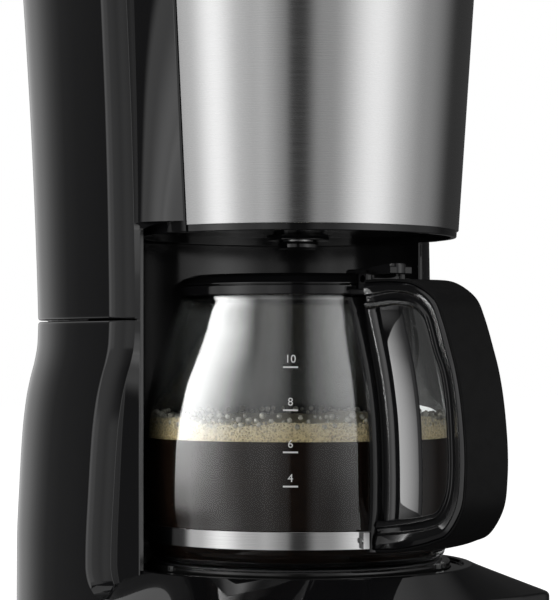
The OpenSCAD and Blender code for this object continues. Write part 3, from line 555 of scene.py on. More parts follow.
def grain_group():
    """Node group: hair-fine brushed streaks along U as a tint, a roughness and a normal."""
    group = bpy.data.node_groups.new("brushed_grain", "ShaderNodeTree")
    for name, value in (("Across", 900.0), ("Along", 6.0), ("Roughness", 0.25), ("Depth", 0.1)):
        group_socket(group, name, "INPUT", "NodeSocketFloat", value)
    group_socket(group, "Streaks", "OUTPUT", "NodeSocketFloat")
    group_socket(group, "Roughness", "OUTPUT", "NodeSocketFloat")
    group_socket(group, "Normal", "OUTPUT", "NodeSocketVector")
    nodes, link = group.nodes, group.links.new
    given, out = nodes.new("NodeGroupInput"), nodes.new("NodeGroupOutput")
    place = nodes.new("ShaderNodeUVMap")
    place.uv_map = "grain"
    split = nodes.new("ShaderNodeSeparateXYZ")
    link(place.outputs["UV"], split.inputs["Vector"])
    scaled = nodes.new("ShaderNodeCombineXYZ")
    for axis, key in (("X", "Along"), ("Y", "Across")):
        times = nodes.new("ShaderNodeMath")
        times.operation = "MULTIPLY"
        link(split.outputs[axis], times.inputs[0])
        link(given.outputs[key], times.inputs[1])
        link(times.outputs["Value"], scaled.inputs[axis])
    streak = nodes.new("ShaderNodeTexNoise")
    streak.inputs["Scale"].default_value = 1
    streak.inputs["Detail"].default_value = 3
    link(scaled.outputs["Vector"], streak.inputs["Vector"])
    spread = nodes.new("ShaderNodeMapRange")
    spread.inputs["From Min"].default_value = 0.3
    spread.inputs["From Max"].default_value = 0.7
    link(streak.outputs["Fac"], spread.inputs["Value"])
    rough = nodes.new("ShaderNodeMath")
    rough.operation = "MULTIPLY_ADD"
    rough.inputs[1].default_value = 0.08
    link(spread.outputs["Result"], rough.inputs[0])
    link(given.outputs["Roughness"], rough.inputs[2])
    bump = nodes.new("ShaderNodeBump")
    bump.inputs["Distance"].default_value = 0.0002
    link(given.outputs["Depth"], bump.inputs["Strength"])
    link(streak.outputs["Fac"], bump.inputs["Height"])
    link(spread.outputs["Result"], out.inputs["Streaks"])
    link(rough.outputs["Value"], out.inputs["Roughness"])
    link(bump.outputs["Normal"], out.inputs["Normal"])
    return group


brushed_grain = grain_group()


def brushed(name, dark, light, roughness, across, along, anisotropy, depth=0.1):
    """Brushed stainless steel whose streaks follow the piece's own UV map."""
    made = bpy.data.materials.new(name)
    made.use_nodes = True
    nodes, link = made.node_tree.nodes, made.node_tree.links.new
    shader = nodes["Principled BSDF"]
    shader.inputs["Metallic"].default_value = 1
    shader.inputs["Anisotropic"].default_value = anisotropy
    shader.inputs["Anisotropic Rotation"].default_value = 0.25
    grain = nodes.new("ShaderNodeGroup")
    grain.node_tree = brushed_grain
    for key, value in (("Across", across), ("Along", along), ("Roughness", roughness), ("Depth", depth)):
        grain.inputs[key].default_value = value
    tint = nodes.new("ShaderNodeMix")
    tint.data_type = "RGBA"
    tint.inputs["A"].default_value = (*dark, 1)
    tint.inputs["B"].default_value = (*light, 1)
    link(grain.outputs["Streaks"], tint.inputs["Factor"])
    link(tint.outputs["Result"], shader.inputs["Base Color"])
    link(grain.outputs["Roughness"], shader.inputs["Roughness"])
    link(grain.outputs["Normal"], shader.inputs["Normal"])
    tangent = nodes.new("ShaderNodeTangent")
    tangent.direction_type = "UV_MAP"
    tangent.uv_map = "grain"
    link(tangent.outputs["Tangent"], shader.inputs["Tangent"])
    return made


def grain_uv(made):
    """UV map in metres: U round the jug's axis, V up."""
    mesh = made.data
    layer = mesh.uv_layers.new(name="grain")
    for face in mesh.polygons:
        turns = []
        for loop in face.loop_indices:
            x, y, z = mesh.vertices[mesh.loops[loop].vertex_index].co
            turn = math.atan2(x, -(y - AXIS_Y))
            if turns and turn - turns[0] > math.pi:
                turn -= 2 * math.pi
            if turns and turn - turns[0] < -math.pi:
                turn += 2 * math.pi
            turns.append(turn)
            layer.data[loop].uv = (turn * 0.078, z)


sleeve_steel = brushed("sleeve_steel", (0.51, 0.51, 0.512), (0.55, 0.55, 0.55), 0.22, 5200, 30, 0.9, 0.02)
sleeve = piece("sleeve_sheet", [turned(cone_profile(SLEEVE_T, SLEEVE_Z0, SLEEVE_Z1, -0.02),
                                       -SLEEVE_HALF, SLEEVE_HALF, 160)],
               sleeve_steel, "machine", ["steel_sleeve"])
grain_uv(sleeve)

# ---- Hotplate ----
# A pressed steel plate with a baked non-stick coating, held by a gloss black rim with a rounded
# upper edge. The plate is dished very slightly and patches of scuffs show on its coating.
PLATE_R, RIM_R, PLATE_Z = 66.0, 70.0, 42.0
rim_black = finish("rim_black", (0.008, 0.008, 0.008), 0.09, scuff=0.1)
piece("rim_ring", [turned(rounded([(PLATE_R - 2.8, BASE_TOP - 4), (RIM_R - 2.4, BASE_TOP - 4),
                                   (RIM_R - 2.4, BASE_TOP - 1.2), (RIM_R, BASE_TOP - 1.2),
                                   (RIM_R, PLATE_Z - 0.5), (PLATE_R + 0.2, PLATE_Z - 0.5),
                                   (PLATE_R + 0.2, PLATE_Z - 2.1), (PLATE_R - 2.8, PLATE_Z - 2.1)],
                                  [0, 0, 0, 0.2, 1.2, 0.4, 0, 0], 5))],
      rim_black, "machine", ["hotplate_rim"])

plate_coat = finish("plate_coat", (0.018, 0.018, 0.019), 0.32, scuff=0.2, scale=120, ripple=0.02)
piece("hotplate_dish", [turned(rounded([(0.01, PLATE_Z - 0.3), (PLATE_R - 4, PLATE_Z - 0.1),
                                        (PLATE_R, PLATE_Z), (PLATE_R, PLATE_Z - 2),
                                        (PLATE_R - 4, PLATE_Z - 2), (PLATE_R - 4, PLATE_Z - 6),
                                        (PLATE_R - 5.5, PLATE_Z - 6), (PLATE_R - 5.5, PLATE_Z - 1.6),
                                        (0.01, PLATE_Z - 1.6)],
                                       [0, 2, 0.5, 0.3, 0, 0.3, 0, 0, 0], 4))],
      plate_coat, "machine", ["hotplate"])

# ---- Jug ----
# Blown borosilicate glass: a slightly swelling body, a rounded shoulder and a straight neck, with a
# thick flat bottom. It is filled to the six cup mark with fresh coffee.
GLASS_T, GLASS_Z0, NECK_Z = 1.8, 42.3, 165.0
GLASS = [(42.3, 60.0), (44.9, 66.3), (49.9, 69.2), (59, 70.2), (69, 71.3), (80, 71.6), (95, 71.2),
         (107, 70.3), (118, 68.6), (129.5, 66.0), (140, 62.8), (149, 59.8), (156.5, 57.5),
         (161.5, 55.9), (165, 55.8)]


def glass_r(z):
    """Outer radius of the glass at a height."""
    return smooth_lookup(GLASS, z)


def jug_skin(inset, low, high, steps):
    """Points (radius, height) up the glass, inset from its outer face."""
    return [(glass_r(z) - inset, z) for z in np.linspace(low, high, steps)]


heel = [(GLASS_Z0 + 3.2 * (1 - math.cos(t)), 62 + 5.6 * math.sin(t))
        for t in np.linspace(0, math.pi / 2, 8)]
outer_wall = [(r, z) for z, r in heel] + jug_skin(0, 49.9, NECK_Z, 60)
inner_wall = jug_skin(GLASS_T, 49.9, NECK_Z, 60)[::-1]
inner_heel = [(62 + 3.8 * math.sin(t), GLASS_Z0 + GLASS_T + 3 * (1 - math.cos(t)))
              for t in np.linspace(math.pi / 2, 0, 8)]
mouth = [(glass_r(NECK_Z) - GLASS_T / 2, NECK_Z + 0.6)]
glass_profile = ([(0.01, GLASS_Z0)] + outer_wall + mouth + inner_wall + inner_heel
                 + [(0.01, GLASS_Z0 + GLASS_T)])

clear_glass = bpy.data.materials.new("clear_glass")
clear_glass.use_nodes = True
glass_nodes = clear_glass.node_tree.nodes
glass_shader = glass_nodes["Principled BSDF"]
glass_shader.inputs["Base Color"].default_value = (0.97, 0.985, 0.98, 1)
glass_shader.inputs["Transmission Weight"].default_value = 1
glass_shader.inputs["IOR"].default_value = 1.47
glass_wear = glass_nodes.new("ShaderNodeGroup")
glass_wear.node_tree = gloss_wear
for key, value in (("Roughness", 0.0), ("Scuff", 0.02), ("Edge", 0.0), ("Scale", 25.0), ("Ripple", 0.04)):
    glass_wear.inputs[key].default_value = value
clear_glass.node_tree.links.new(glass_wear.outputs["Roughness"], glass_shader.inputs["Roughness"])
clear_glass.node_tree.links.new(glass_wear.outputs["Normal"], glass_shader.inputs["Normal"])
jug_parts.objects.link(piece("jug_glass", [turned(glass_profile, steps=256)], clear_glass, "carafe",
                             ["glass_jug"], sharp=50))

# ---- Coffee ----
# Fresh coffee to the six cup mark, with a collar of foam: dense fine bubbles below, and larger, clearer
# ones that break as they rise.
FOAM_Z0, FOAM_Z1, BUBBLE_Z = 97.6, 106.0, 110.5
FLOOR_TOP = GLASS_Z0 + GLASS_T


def filled(low, high, inset, steps=40):
    """Closed profile of a body that fills the jug between two heights."""
    side = [(min(glass_r(z), 62 + 5.6 * min(1, (z - GLASS_Z0) / 6) ** 0.5 + 2 * max(0, z - 48))
             - GLASS_T - inset, z) for z in np.linspace(low, high, steps)]
    return [(0.01, low)] + side + [(0.01, high)]


coffee_dark = bpy.data.materials.new("coffee_dark")
coffee_dark.use_nodes = True
coffee_nodes, coffee_link = coffee_dark.node_tree.nodes, coffee_dark.node_tree.links.new
coffee_shader = coffee_nodes["Principled BSDF"]
coffee_shader.inputs["Roughness"].default_value = 0.3
coffee_shader.inputs["Specular IOR Level"].default_value = 0.0
coffee_place = coffee_nodes.new("ShaderNodeTexCoord")
coffee_cloud = coffee_nodes.new("ShaderNodeTexNoise")
coffee_cloud.inputs["Scale"].default_value = 30
coffee_link(coffee_place.outputs["Object"], coffee_cloud.inputs["Vector"])
coffee_tint = coffee_nodes.new("ShaderNodeMix")
coffee_tint.data_type = "RGBA"
coffee_tint.inputs["A"].default_value = (0.004, 0.0025, 0.002, 1)
coffee_tint.inputs["B"].default_value = (0.009, 0.005, 0.003, 1)
coffee_link(coffee_cloud.outputs["Fac"], coffee_tint.inputs["Factor"])
coffee_link(coffee_tint.outputs["Result"], coffee_shader.inputs["Base Color"])
piece("coffee", [turned(filled(FLOOR_TOP, FOAM_Z0, -0.15))], coffee_dark, "carafe")


def foam_material(name, low_tint, high_tint, bubble_centre_tint, scale, alpha=1.0):
    """Foam: a bubble pattern with a painted highlight on each bubble's walls and centres darkened to the
    coffee seen through them, tan below and paler towards its top.
    """
    made = bpy.data.materials.new(name)
    made.use_nodes = True
    nodes, link = made.node_tree.nodes, made.node_tree.links.new
    shader = nodes["Principled BSDF"]
    shader.inputs["Roughness"].default_value = 0.3
    shader.inputs["Alpha"].default_value = alpha
    place = nodes.new("ShaderNodeTexCoord")
    split = nodes.new("ShaderNodeSeparateXYZ")
    link(place.outputs["Object"], split.inputs["Vector"])
    rise = nodes.new("ShaderNodeMapRange")
    rise.inputs["From Min"].default_value = FOAM_Z0 * MM
    rise.inputs["From Max"].default_value = BUBBLE_Z * MM
    link(split.outputs["Z"], rise.inputs["Value"])
    body = nodes.new("ShaderNodeMix")
    body.data_type = "RGBA"
    body.inputs["A"].default_value = (*low_tint, 1)
    body.inputs["B"].default_value = (*high_tint, 1)
    link(rise.outputs["Result"], body.inputs["Factor"])
    cells = nodes.new("ShaderNodeTexVoronoi")
    cells.inputs["Scale"].default_value = scale
    link(place.outputs["Object"], cells.inputs["Vector"])
    # Painted highlight: the rim mask leaves each bubble's wall in the body tint so that it reads as lit, and
    # darkens the bubble's centre towards the darker centre tint.
    rim = nodes.new("ShaderNodeMapRange")
    rim.inputs["From Min"].default_value = 0.2
    rim.inputs["From Max"].default_value = 0.62
    rim.inputs["To Min"].default_value = 1.0
    rim.inputs["To Max"].default_value = 0.0
    link(cells.outputs["Distance"], rim.inputs["Value"])
    mottle = nodes.new("ShaderNodeTexNoise")
    mottle.inputs["Scale"].default_value = 260
    link(place.outputs["Object"], mottle.inputs["Vector"])
    mask = nodes.new("ShaderNodeMath")
    mask.operation = "MULTIPLY"
    link(rim.outputs["Result"], mask.inputs[0])
    link(mottle.outputs["Fac"], mask.inputs[1])
    tint = nodes.new("ShaderNodeMix")
    tint.data_type = "RGBA"
    tint.inputs["B"].default_value = (*bubble_centre_tint, 1)
    link(body.outputs["Result"], tint.inputs["A"])
    link(mask.outputs["Value"], tint.inputs["Factor"])
    link(tint.outputs["Result"], shader.inputs["Base Color"])
    bump = nodes.new("ShaderNodeBump")
    bump.inputs["Strength"].default_value = 0.6
    bump.inputs["Distance"].default_value = 0.0006
    bump.invert = True
    link(cells.outputs["Distance"], bump.inputs["Height"])
    link(bump.outputs["Normal"], shader.inputs["Normal"])
    return made


foam_fine = foam_material("foam_fine", (0.46, 0.36, 0.18), (0.30, 0.27, 0.19), (0.02, 0.015, 0.006), 850)
foam_clear = foam_material("foam_clear", (0.22, 0.20, 0.14), (0.24, 0.23, 0.20), (0.03, 0.027, 0.02), 420)


def foam_top(steps=192, rings=24):
    """The foam's body: a lumpy top, standing a little higher where it clings to the glass."""
    sections = []
    for k in range(steps):
        a = 2 * math.pi * k / steps
        lump = 1.1 * math.sin(3 * a + 1) + 0.8 * math.sin(7 * a) + 0.4 * math.sin(17 * a + 2)
        top = FOAM_Z1 + lump
        side = [(glass_r(z) - GLASS_T - 0.7, z) for z in np.linspace(FOAM_Z0 + 0.01, top, rings)]
        profile = [(0.01, FOAM_Z0 + 0.01)] + side
        profile += [(glass_r(top) - GLASS_T - 3, top - 0.6), (40, FOAM_Z1 - 0.8), (0.01, FOAM_Z1 - 1)]
        sections.append([(r * math.sin(a), -r * math.cos(a), z) for r, z in profile])
    return sweep(sections, True)


piece("foam", [foam_top()], foam_fine, "carafe")


def bubble_tree():
    """Geometry Nodes: small round bubbles of random size scattered over a surface."""
    tree = bpy.data.node_groups.new("bubble_scatter", "GeometryNodeTree")
    group_socket(tree, "Geometry", "INPUT", "NodeSocketGeometry")
    for name, value in (("Density", 1e5), ("Spacing", 0.001), ("Smallest", 0.0004), ("Largest", 0.0009)):
        group_socket(tree, name, "INPUT", "NodeSocketFloat", value)
    group_socket(tree, "Facets", "INPUT", "NodeSocketInt", 1)
    group_socket(tree, "Seed", "INPUT", "NodeSocketInt", 4)
    group_socket(tree, "Finish", "INPUT", "NodeSocketMaterial")
    group_socket(tree, "Geometry", "OUTPUT", "NodeSocketGeometry")
    nodes, link = tree.nodes, tree.links.new
    given, out = nodes.new("NodeGroupInput"), nodes.new("NodeGroupOutput")
    scatter = nodes.new("GeometryNodeDistributePointsOnFaces")
    scatter.distribute_method = "POISSON"
    link(given.outputs["Geometry"], scatter.inputs["Mesh"])
    link(given.outputs["Density"], scatter.inputs["Density Max"])
    link(given.outputs["Spacing"], scatter.inputs["Distance Min"])
    link(given.outputs["Seed"], scatter.inputs["Seed"])
    ball = nodes.new("GeometryNodeMeshIcoSphere")
    ball.inputs["Radius"].default_value = 1
    link(given.outputs["Facets"], ball.inputs["Subdivisions"])
    size = nodes.new("FunctionNodeRandomValue")
    link(given.outputs["Smallest"], size.inputs["Min"].node.inputs[2])
    link(given.outputs["Largest"], size.inputs["Max"].node.inputs[3])
    link(given.outputs["Seed"], size.inputs["Seed"])
    place = nodes.new("GeometryNodeInstanceOnPoints")
    link(scatter.outputs["Points"], place.inputs["Points"])
    link(ball.outputs["Mesh"], place.inputs["Instance"])
    link(size.outputs[1], place.inputs["Scale"])
    real = nodes.new("GeometryNodeRealizeInstances")
    link(place.outputs["Instances"], real.inputs["Geometry"])
    smooth = nodes.new("GeometryNodeSetShadeSmooth")
    link(real.outputs["Geometry"], smooth.inputs["Geometry"])
    paint = nodes.new("GeometryNodeSetMaterial")
    link(smooth.outputs["Geometry"], paint.inputs["Geometry"])
    link(given.outputs["Finish"], paint.inputs["Material"])
    link(paint.outputs["Geometry"], out.inputs["Geometry"])
    return tree


def grown(name, tree, source, settings, body):
    """A piece made by a Geometry Nodes tree on a source mesh given in millimetres."""
    verts, faces = source
    mesh = bpy.data.meshes.new(name)
    mesh.from_pydata([(x * MM, y * MM + AXIS_Y, z * MM) for x, y, z in verts], [], faces)
    made = bpy.data.objects.new(name, mesh)
    bpy.context.collection.objects.link(made)
    maker = made.modifiers.new("maker", "NODES")
    maker.node_group = tree
    for socket in tree.interface.items_tree:
        if socket.in_out == "INPUT" and socket.name in settings:
            maker[socket.identifier] = settings[socket.name]
    graph = bpy.context.evaluated_depsgraph_get()
    result = bpy.data.meshes.new_from_object(made.evaluated_get(graph))
    made.modifiers.clear()
    made.data = result
    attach(made, body)
    return made


def band_surface(inset, low, high, steps=120, rings=4):
    """Open band just inside the glass, to scatter bubbles over."""
    rows = [[(((glass_r(z) - inset) * math.sin(2 * math.pi * k / steps)),
              -(glass_r(z) - inset) * math.cos(2 * math.pi * k / steps), z) for k in range(steps)]
            for z in np.linspace(low, high, rings)]
    verts = [p for row in rows for p in row]
    faces = [(r * steps + k, r * steps + (k + 1) % steps, (r + 1) * steps + (k + 1) % steps,
              (r + 1) * steps + k) for r in range(rings - 1) for k in range(steps)]
    return verts, faces


bubbles = bubble_tree()
grown("foam_bubbles", bubbles, band_surface(GLASS_T + 0.9, FOAM_Z0 + 0.2, FOAM_Z1),
      {"Density": 9e5, "Spacing": 0.0011, "Smallest": 0.00045, "Largest": 0.0008, "Facets": 1,
       "Seed": 4, "Finish": foam_fine}, "carafe")
grown("foam_froth", bubbles, band_surface(GLASS_T + 1.6, FOAM_Z1 - 2, BUBBLE_Z - 1.5),
      {"Density": 3e5, "Spacing": 0.0022, "Smallest": 0.0007, "Largest": 0.0016, "Facets": 2,
       "Seed": 9, "Finish": foam_clear}, "carafe")

# ---- Cup marks ----
# White ceramic ink fired on to the glass beside the handle: a short line for 4, 6, 8 and 10 cups with
# its number above it.
MARK_TURN, MARK_W, MARK_T = math.degrees(-TURN), 6.5, 0.12
MARKS = {"4": 78.7, "6": 93.4, "8": 111.5, "10": 130.0}
DIGIT_H = 3.6
mark_ink = finish("mark_ink", (0.75, 0.75, 0.74), 0.45, scuff=0.1, scale=300, ripple=0.0)


def wrapped(points, bottom):
    """Flat (x, y, depth) points in millimetres wrapped on to the glass above a height."""
    out = []
    for x, y, depth in points:
        z = bottom + y
        r = glass_r(z) + 0.02 + depth
        a = math.radians(MARK_TURN) + (x - MARK_W / 2) / glass_r(z)
        out.append((r * math.sin(a), -r * math.cos(a), z))
    return out


def number(text):
    """Outline numerals as a closed mesh, centred on x, standing on y = 0, in millimetres."""
    curve = bpy.data.curves.new("number_" + text, "FONT")
    curve.body = text
    curve.size = DIGIT_H * 1.35
    curve.align_x = "CENTER"
    curve.extrude = MARK_T / 2
    curve.resolution_u = 4
    holder = bpy.data.objects.new("number_" + text, curve)
    bpy.context.collection.objects.link(holder)
    graph = bpy.context.evaluated_depsgraph_get()
    mesh = bpy.data.meshes.new_from_object(holder.evaluated_get(graph))
    points = [(v.co.x, v.co.y, v.co.z + MARK_T / 2) for v in mesh.vertices]
    faces = [tuple(f.vertices) for f in mesh.polygons]
    bpy.data.objects.remove(holder)
    return points, faces


mark_parts = []
for label, height in MARKS.items():
    bar = [[(x, y, d) for y, d in ((0, 0), (0.7, 0), (0.7, MARK_T), (0, MARK_T))]
           for x in np.linspace(-MARK_W / 2, MARK_W / 2, 9)]
    bar_verts, bar_faces = sweep(bar)
    mark_parts.append((wrapped(bar_verts, height - 0.35), bar_faces))
    digit_verts, digit_faces = number(label)
    mark_parts.append((wrapped(digit_verts, height + 2.0), digit_faces))
piece("cup_marks", mark_parts, mark_ink, "carafe")

# ---- Band ----
# A brushed steel strap drawn tight round the foot of the glass. Its ends turn out into two tabs that
# hold the handle's foot, each closed by a screw.
BAND_R, BAND_Z, BAND_H = 71.35, 51.0, 8.0
band_steel = brushed("band_steel", (0.42, 0.42, 0.42), (0.50, 0.50, 0.50), 0.14, 5200, 30, 0.7, 0.02)
band = piece("band_strap", [turned(rounded([(BAND_R - 1.0, BAND_Z), (BAND_R, BAND_Z),
                                            (BAND_R, BAND_Z + BAND_H), (BAND_R - 1.0, BAND_Z + BAND_H)],
                                           [0, 0.35, 0.35, 0], 3), steps=256)],
             band_steel, "carafe", ["jug_band"])
grain_uv(band)

# ---- Collar and jug lid ----
# A gloss black collar clamped round the mouth of the glass carries the handle and the lid's hinge.
# The lid is a shallow dish with a funnel and a drip hole, and a thumb tab with a round barrel.
COLLAR_Z0, COLLAR_Z1, COLLAR_R = 161.6, 166.2, 57.7
JUG_LID_Z0, JUG_LID_Z1, JUG_LID_R, PLUG_R = 166.5, 171.5, 56.5, 52.6
SPINE_HALF, BRACKET_R, PIN_R, PIN_Z = 14.0, 66.0, 61.5, 168.6


def block(x0, x1, y0, y1, z0, z1, edge=0.5):
    """A box with bevelled edges."""
    levels = [(z0, edge), (z0 + edge, 0), (z1 - edge, 0), (z1, edge)]
    sections = []
    for z, i in levels:
        xa, xb, ya, yb = x0 + i, x1 - i, y0 + i, y1 - i
        c = edge
        sections.append([(xa + c, ya, z), (xb - c, ya, z), (xb, ya + c, z), (xb, yb - c, z),
                         (xb - c, yb, z), (xa + c, yb, z), (xa, yb - c, z), (xa, ya + c, z)])
    return sweep(sections)


def across(profile, x0, x1, y, z, steps=32):
    """A rod along X at (y, z): profile is a list of (place from 0 to 1, radius)."""
    sections = []
    for t, r in profile:
        x = x0 + (x1 - x0) * t
        sections.append([(x, y + r * math.cos(2 * math.pi * k / steps),
                          z + r * math.sin(2 * math.pi * k / steps)) for k in range(steps)])
    return sweep(sections)


collar_parts = [turned(rounded([(glass_r(COLLAR_Z0) + 0.05, COLLAR_Z0), (COLLAR_R, COLLAR_Z0),
                                (COLLAR_R, COLLAR_Z1), (glass_r(NECK_Z) + 0.1, COLLAR_Z1)],
                               [0, 1.0, 1.2, 0], 5), steps=256)]
collar_parts.append(block(-SPINE_HALF, SPINE_HALF, -BRACKET_R, -COLLAR_R + 1.5, COLLAR_Z0, PIN_Z - 4.5))
for side in (-1, 1):
    collar_parts.append(block(side * 9.5 - 1.5, side * 9.5 + 1.5, -PIN_R - 3, -PIN_R + 3.4,
                              COLLAR_Z0 + 0.2, PIN_Z + 2.6, 0.6))
piece("collar_ring", collar_parts, gloss_black, "carafe", ["jug_collar"])

jug_lid_profile = rounded([(6, JUG_LID_Z0 + 0.4), (PLUG_R - 2, JUG_LID_Z0 + 0.4),
                           (PLUG_R - 2, JUG_LID_Z0 - 7), (PLUG_R, JUG_LID_Z0 - 7),
                           (PLUG_R, JUG_LID_Z0), (JUG_LID_R, JUG_LID_Z0),
                           (JUG_LID_R, JUG_LID_Z0 + 0.7), (JUG_LID_R - 3.5, JUG_LID_Z0 + 3.4),
                           (JUG_LID_R - 8.5, JUG_LID_Z1), (47, JUG_LID_Z1), (43, JUG_LID_Z1 - 1.2),
                           (17, JUG_LID_Z1 - 1.4), (6, JUG_LID_Z1 - 3.5)],
                          [0, 0.5, 0.5, 0.5, 0, 0.3, 0.6, 3, 2.5, 0.5, 1.5, 2, 0], 4)
piece("jug_lid_dish", [turned(jug_lid_profile, steps=192)], gloss_black, "carafe_lid", ["jug_lid"])

KNOB_REACH, KNOB_TOP = 70.5, 175.7
wedge = rounded([(58, PIN_Z + 2.6), (58, JUG_LID_Z1 + 1.9), (KNOB_REACH, KNOB_TOP - 1),
                 (KNOB_REACH + 4, KNOB_TOP - 2), (KNOB_REACH + 4, PIN_Z + 2.0), (PIN_R, PIN_Z + 1.8),
                 (58, PIN_Z + 2.6)], [0, 1, 1, 0.6, 0.5, 0.3, 0], 4)[:-1]
wedge_rows = [[(x, -rho, z + lift) for rho, z in wedge]
              for x, lift in ((-6, -0.0), (-5.4, 0.0), (5.4, 0.0), (6, 0.0))]
tab_parts = [sweep(wedge_rows)]
tab_parts.append(across([(0, 2.6), (0.04, 3.2), (0.96, 3.2), (1, 2.6)], -7.6, 7.6, -PIN_R, PIN_Z))
barrel_rise = [(PIN_Z + 1.9, 4.2), (PIN_Z + 2.4, 4.7), (KNOB_TOP - 1.6, 4.7), (KNOB_TOP - 0.6, 4.3),
               (KNOB_TOP, 3.2)]
tab_parts.append(sweep([[(r * math.cos(a), -KNOB_REACH + r * math.sin(a), z)
                         for a in np.linspace(0, 2 * math.pi, 32, endpoint=False)]
                        for z, r in barrel_rise]))
tab_parts.append(block(-6, 6, -60, -43, JUG_LID_Z1 - 0.6, JUG_LID_Z1 + 1.7, 0.6))
piece("thumb_lever", tab_parts, gloss_black, "carafe_lid", ["thumb_tab"])

# ---- Handle ----
# A gloss black loop moulded in one with a spine that follows the glass: an arch from the collar, a
# grip with a grooved side, and a foot held by the band. A soft-touch cover closes the grip outside.
OUTER = [(66, 168), (84, 168), (98, 166.2), (110.7, 159.8), (116.5, 151), (122, 138), (125.7, 127.8),
         (128.7, 114.8), (130.8, 98), (130.8, 84), (128.5, 71), (120.1, 60.1), (110, 56),
         (99.3, 53.2), (86, 50.8), (73.5, 49.8)]
INNER = [(66, 155), (84, 156.4), (95, 155), (101, 151.5), (103.8, 147.5), (108.3, 136.5),
         (112.8, 127.8), (115.7, 115.5), (117.2, 98), (117.2, 84), (115.3, 76), (110.6, 69.8),
         (104, 67.7), (94, 65.9), (83.5, 64.6), (73.5, 63.4)]
HALF_WIDTH = [14, 13.2, 12.4, 12, 12, 12, 12, 12, 12, 12, 12, 12, 12.2, 12.6, 13.2, 13.8]
COVER_T = 1.3


def spline(points, steps):
    """Catmull-Rom curve through points."""
    p = [np.array(q, float) for q in points]
    p = [2 * p[0] - p[1]] + p + [2 * p[-1] - p[-2]]
    out = []
    for k in range(1, len(p) - 2):
        a, b, c, d = p[k - 1:k + 3]
        for i in range(steps):
            t = i / steps
            out.append(0.5 * (2 * b + (c - a) * t + (2 * a - 5 * b + 4 * c - d) * t ** 2
                              + (3 * b - a - 3 * c + d) * t ** 3))
    out.append(p[-2])
    return out


STATIONS = 7
outer_path, inner_path = spline(OUTER, STATIONS), spline(INNER, STATIONS)
widths = [w[0] for w in spline([(w, 0) for w in HALF_WIDTH], STATIONS)]


def grip_sections(half_section):
    """Sections across the loop; half_section(depth, half width) gives (depth from inner, x) points."""
    rows = []
    for outer, inner, width in zip(outer_path, inner_path, widths):
        depth = np.linalg.norm(outer - inner)
        way = (outer - inner) / depth
        half = half_section(depth, width)
        ring = half + [(u, -x) for u, x in half[::-1]]
        rows.append([(x, -(inner + way * u)[0], (inner + way * u)[1]) for u, x in ring])
    return rows


def loop_section(depth, w):
    edge = depth - COVER_T
    path = [(0, 0.01), (0, w - 1.2), (2.6, w - 0.3), (3.3, w - 1.3), (5.6, w - 1.4), (6.4, w - 0.4),
            (edge * 0.5 + 3.6, w + 0.15), (edge - 0.3, w - 0.35), (edge, w - 1.2), (edge, 0.01)]
    return [tuple(p) for p in rounded(path, [0, 1.6, 0.5, 0.6, 0.8, 0.7, 3, 0.5, 0.3, 0], 4)]


def cover_section(depth, w):
    edge = depth - COVER_T + 0.05
    path = [(edge, 0.01), (edge, w - 1.0), (edge + 0.2, w - 0.15), (depth, w - 0.5), (depth, 0.01)]
    return [tuple(p) for p in rounded(path, [0, 0.2, 0.3, 1.0, 0], 4)]


def hugging(half, out_near, out_far, low, high, corner, rows=48):
    """A strip that follows the glass, half wide, between two distances out from it."""
    sections = []
    for z in np.linspace(low, high, rows):
        r = glass_r(z)
        near, far = [], []
        for x in np.linspace(-half, half, 15):
            near.append((x, -math.sqrt((r + out_near) ** 2 - x ** 2), z))
        for x in np.linspace(half, -half, 15):
            fall = max(0.0, abs(x) - (half - corner))
            dip = corner - math.sqrt(max(0.0, corner ** 2 - fall ** 2))
            far.append((x, -(math.sqrt((r + out_far) ** 2 - x ** 2) - dip), z))
        sections.append(near + far)
    return sweep(sections)


grip_parts = [sweep(grip_sections(loop_section))]
grip_parts.append(hugging(SPINE_HALF, 0.3, 3.0, 49.8, 160.5, 0.6))
grip_parts.append(hugging(8.6, 2.6, 9.0, 60, 158, 2.6))
handle_parts.objects.link(piece("handle_loop", grip_parts, gloss_black, "carafe", ["handle"]))
soft_touch = finish("soft_touch", (0.004, 0.004, 0.0042), 0.55, scuff=0.1, scale=200, ripple=0.0,
                    specular=0.12)
piece("handle_cover", [sweep(grip_sections(cover_section))], soft_touch, "carafe")

# ---- Top lid ----
# A gloss black lid over the filter and the tank, hinged at the back on a steel pin. Its edge is
# rounded and it sits on the housings with a hairline gap.
pin_low, pin_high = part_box("lid_pin")
HINGE_Y, HINGE_Z, HINGE_R, HINGE_HALF = ((pin_low.y + pin_high.y) / 2 - AXIS_Y) / MM, 319.0, 5.6, 57.6
LID_EDGE_Y, LID_WALL = HINGE_Y - 6.2, 3.0
lid_plan = np.array([(p[0], p[1]) for p in tower_section(LID_Z, 0)[:len(tower_half(LID_Z, 0)) * 2 - 1]])
lid_sections = []
for bearing in np.linspace(0, 2 * math.pi, 360, endpoint=False):
    reach = max(CONE_R1 + SLEEVE_T, reach_along(lid_plan, bearing))
    if math.sin(bearing) > 0:
        reach = min(reach, LID_EDGE_Y / math.sin(bearing))
    profile = rounded([(0.01, TOP_Z), (reach - 9, TOP_Z - 0.4), (reach, TOP_Z - 1.4), (reach, LID_Z + 0.3),
                       (reach - LID_WALL, LID_Z + 0.3), (reach - LID_WALL, TOP_Z - 3.5),
                       (0.01, TOP_Z - 3.5)], [0, 4, 2, 0.3, 0.3, 1, 0], 4)
    lid_sections.append([(r * math.cos(bearing), r * math.sin(bearing), z) for r, z in profile])
lid_parts = [sweep(lid_sections, True)]
lid_parts.append(across([(0, 5.0), (0.005, HINGE_R), (0.995, HINGE_R), (1, 5.0)], -HINGE_HALF,
                        HINGE_HALF, HINGE_Y, HINGE_Z, 48))
lid_parts.append(block(-HINGE_HALF, HINGE_HALF, LID_EDGE_Y - 1, HINGE_Y, HINGE_Z - 5.5, HINGE_Z + 5.5))
piece("top_lid_shell", lid_parts, gloss_black, "top_lid", ["lid"])

